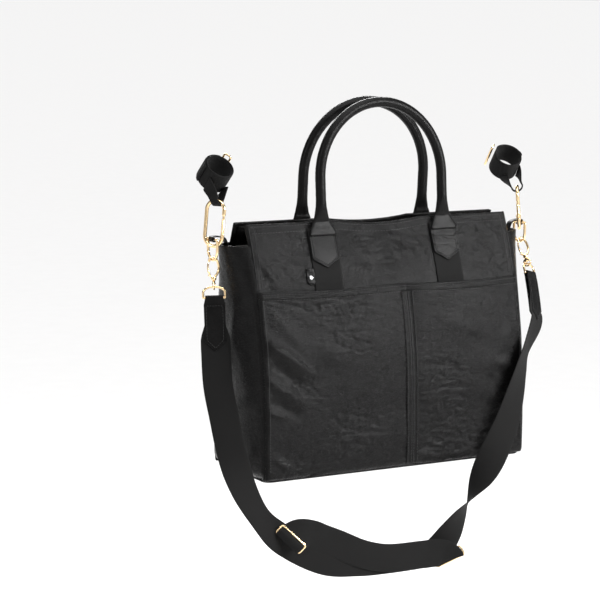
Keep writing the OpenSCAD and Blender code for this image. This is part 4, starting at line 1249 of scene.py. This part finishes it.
def linkDirection(v, side):
    return (onLink([v], side) - onLink([[0, 0, 0]], side))[0]


def makeCarabiner(side, word):
    low = word.lower()
    bend = link["width"] / 2
    path = np.vstack([
        [(bend, 0, link["gateHigh"])], arc((0, -bend), bend, 0, 180),
        arc((0, -link["height"] + bend), bend, 180, 360),
        [(bend, 0, link["gateLow"] - 0.0034)]])
    path = evenly(path, 0.0014)
    normal = linkDirection([0, 1.0, 0], side)
    body = tube("carabiner" + word, wireGrid(onLink(path, side), link["wire"], normal, False, 24), gold)
    finishPiece(body, "carabiners", ["carabiner_" + low])
    # hinge ears: two cheeks beside the gate's foot
    for s, tail in ((-1, "A"), (1, "B")):
        ear = np.array([(bend, s * 0.0022, link["gateLow"] + rise) for rise in (-0.005, -0.002, 0.0012)])
        ear = evenly(ear, 0.0008)
        cheek = wireGrid(onLink(ear, side), 0.0010, normal, False, 14)
        finishPiece(tube("linkEar" + word + tail, cheek, gold), "carabiners")
    # gate: a rod with a knurled sleeve
    z = np.linspace(link["gateLow"], link["gateHigh"] - 0.002, 90)
    rod = np.full(len(z), 0.00150)
    sleeve = (z > link["gateLow"] + 0.003) & (z < link["gateHigh"] - 0.006)
    groove = 0.00012 * (np.sin((z - z[0]) / 0.0011 * 2 * math.pi) > 0)
    rod = np.where(sleeve, 0.0023 - groove, rod)
    rod[0:3] = [0.0019, 0.0021, 0.0020]
    gatePath = onLink(np.stack([np.full(len(z), bend), 0 * z, z], 1), side)
    gate = tube("linkGate" + word, wireGrid(gatePath, rod, normal, False, 24), gold)
    finishPiece(gate, "link_gate_" + low, ["carabiner_gate_" + low])
    pin = np.array([(bend, y, link["gateLow"]) for y in (-0.0027, 0, 0.0027)])
    pinNormal = linkDirection([0, 0, 1.0], side)
    pinObj = tube("linkPin" + word, wireGrid(onLink(pin, side), 0.0008, pinNormal, False, 14), gold)
    finishPiece(pinObj, "carabiners", ["gate_pins"] if side > 0 else ())


def makeSideRing(side, word):
    low = word.lower()
    x, z, half, drop = strap["sideX"], strap["barZ"], link["ringHalf"], strap["arcDrop"]
    a = np.radians(np.linspace(0, -180, 31))
    bow = np.stack([0 * a + x, half * np.cos(a), z - drop + half * np.sin(a)], 1)
    path = np.vstack([[(x, half, z)], bow, [(x, -half, z)]])
    path = evenly(np.vstack([path, path[:1]]), 0.0014)[:-1]
    grid = wireGrid(mirrored(path, side), link["ringWire"], (1, 0, 0), True, 20)
    ring = tube("dRing" + word, grid, gold, True)
    finishPiece(ring, "bag", ["d_ring_" + low])
    # tab: a leather belt that leaves the gusset, goes round the ring's bar and comes back
    inX = shell["halfWidth"] + 0.021
    r = 0.0031
    fold = np.radians(np.linspace(90, -150, 20))
    belt = np.vstack([
        [(inX - 0.006, 0, z - 0.015), (inX - 0.0025, 0, z - 0.006), (inX + 0.001, 0, z + 0.0008),
         (x - 0.006, 0, z + r)],
        np.stack([x + r * np.cos(fold), 0 * fold, z + r * np.sin(fold)], 1)])
    belt = evenly(curveThrough(belt, 4), 0.0012)
    facing = np.broadcast_to(np.array([0, 1.0, 0]), belt.shape)
    along = unit(np.gradient(belt, axis=0))
    grid = ribbonGrid(belt, np.cross(along, facing), link["beltWidth"], link["beltThick"], 0, 12)
    tab = tube("sideTab" + word, mirrored(grid, side), softLeather)
    finishPiece(tab, "bag", ["side_tab_" + low])


for sign, word in ((-1, "Left"), (1, "Right")):
    makeCarabiner(sign, word)
    makeSideRing(sign, word)

band = dict(
    tubeRadius=0.017, width=0.030, thick=0.0022, at=(0.222, 0.018, 0.032), axis=(0.12, 0.68, -0.72),
    flapStart=150.0, flapTurn=115.0, ringAngle=128.0, ringHeight=0.009, ringWire=0.0014,
    loopRadius=0.0074)


def tubeAxes():
    # the handlebar's direction, and the two directions square to it that the wrap is measured from
    w = unit(np.array(band["axis"]))
    flat = math.hypot(w[0], w[1])
    u = np.array([w[2] * w[0] / flat, w[2] * w[1] / flat, -flat])
    return u, np.cross(w, u), w


def onTube(points, side):
    u, v, w = tubeAxes()
    p = np.asarray(points, float)
    return mirrored(p[..., :1] * u + p[..., 1:2] * v + p[..., 2:] * w + np.array(band["at"]), side)


def wrap(side, radius, a0, a1, count):
    # a path round the tube from angle a0 to a1, and the way its face looks
    a = np.radians(np.linspace(a0, a1, count))
    r = np.broadcast_to(np.asarray(radius, float), a.shape)
    path = np.stack([r * np.cos(a), r * np.sin(a), 0 * a], 1)
    out = np.stack([np.cos(a), np.sin(a), 0 * a], 1)
    p0 = onTube(path, side)
    facing = onTube(path + out, side) - p0
    return p0, facing


def makeBand(side, word):
    low = word.lower()
    wrapRadius = band["tubeRadius"] + band["thick"] / 2 + 0.0001
    path, facing = wrap(side, wrapRadius, 0, 360 * (1 - 1 / 96), 96)
    path, facing = np.vstack([path, path[:1]]), np.vstack([facing, facing[:1]])
    grid = ribbonGrid(path, facing, band["width"], band["thick"], 0, 20)[:-1]
    first = tube("strollerBand" + word, grid, bandWeave, True)
    finishPiece(first, "stroller_straps", ["stroller_band_" + low])
    # tail: overlaps the band with its end cut square
    a = np.linspace(band["flapStart"], band["flapStart"] + band["flapTurn"], 60)
    lift = wrapRadius + band["thick"] + 0.0006 * smoothstep((a - a[-12]) / 10.0)
    path, facing = wrap(side, lift, a[0], a[-1], 60)
    grid = ribbonGrid(path, facing, band["width"] - 0.002, band["thick"] - 0.0004, 0, 20)
    flap = tube("bandFlap" + word, grid, bandWeave)
    finishPiece(flap, "stroller_straps")
    # hanging loop: from the band round the carabiner's top and back
    axisTop = unit(np.array(band["axis"]))
    away = math.radians(90 - link["turn"])
    axisLow = unit(np.array([-math.sin(away), -math.cos(away), 0]))
    if np.dot(axisTop, axisLow) < 0:
        axisLow = -axisLow
    lowAt, highAt = np.array([link["topX"], 0, 0]), np.array(band["at"])
    down = unit(lowAt - highAt)
    reach = np.linalg.norm(lowAt - highAt)
    s = np.linspace(0, 1, 16)
    limbs = []
    for sgn in (1, -1):
        t = (s if sgn > 0 else s[::-1])[:, None]
        w = unit(axisTop * (1 - t) + axisLow * t)
        square = unit(np.cross(down, w))
        away = sgn * (0.0125 * (1 - smoothstep(t)) + band["loopRadius"] * smoothstep(t))
        limbs.append((highAt + down * (0.0165 + (reach - 0.0165) * t) + square * away, w))
    turnA = np.radians(np.linspace(0, 180, 22))[1:-1, None]
    w = axisLow + 0 * turnA
    square = unit(np.cross(down, w))
    bottom = lowAt + band["loopRadius"] * (square * np.cos(turnA) + down * np.sin(turnA) * 0.86)
    path = np.vstack([limbs[0][0], bottom, limbs[1][0]])
    axes = np.vstack([limbs[0][1], w, limbs[1][1]])
    along = unit(np.gradient(path, axis=0))
    narrowing = np.linspace(0.022, 0.0125, 16)
    width = np.concatenate([narrowing, np.full(20, 0.012), narrowing[::-1]])
    grid = ribbonGrid(path, np.cross(along, axes), width, 0.0019, 0, 14)
    loop = tube("hangLoop" + word, mirrored(grid, side), bandWeave)
    finishPiece(loop, "stroller_straps", ["hang_loop_" + low])
    # cinch ring: a rectangle of wire that the tail comes through
    w, h = band["width"] + 0.005, band["ringHeight"]
    ring = roundedRectangle(h / 2 - 0.003, w / 2 - 0.003, 0.003, 15)
    c = math.radians(band["ringAngle"])
    place = band["tubeRadius"] + 2 * band["thick"] + 0.003
    turned = np.stack([place * math.cos(c) - ring[:, 0] * math.sin(c),
                       place * math.sin(c) + ring[:, 0] * math.cos(c), ring[:, 1]], 1)
    normal = onTube([[math.cos(c), math.sin(c), 0]], side)[0] - onTube([[0, 0, 0]], side)[0]
    grid = wireGrid(onTube(turned, side), band["ringWire"], normal, True, 16)
    cinch = tube("cinchRing" + word, grid, gold, True)
    finishPiece(cinch, "stroller_straps", ["cinch_ring_" + low])


for sign, word in ((-1, "Left"), (1, "Right")):
    makeBand(sign, word)
print("fittings ready")

for node, material in (("base_board", boardGrey), ("core_front", coreCord), ("core_back", coreCord)):
    obj = frame["nodes"][node]
    obj.data.materials.clear()
    obj.data.materials.append(material)


def makeFloor():
    # flat plane, finely cut so that it is a surface of its own
    s = np.linspace(-4000, 4000, 9)
    x, y = np.meshgrid(s, s)
    points = np.stack([x, y, np.full_like(x, studio["floorZ"])], -1).reshape(-1, 3)
    quads, _ = gridFaces(9, 9)
    obj = addMesh("floor", points, quads, floorMaterial(), smooth=False)


makeFloor()
world = bpy.data.worlds.new("studio")
bpy.context.scene.world = world
world.use_nodes = True
world.node_tree.nodes["Background"].inputs["Color"].default_value = (*studio["skyColour"], 1)
world.node_tree.nodes["Background"].inputs["Strength"].default_value = studio["skyPower"]
bpy.context.scene.view_settings.view_transform = "Standard"
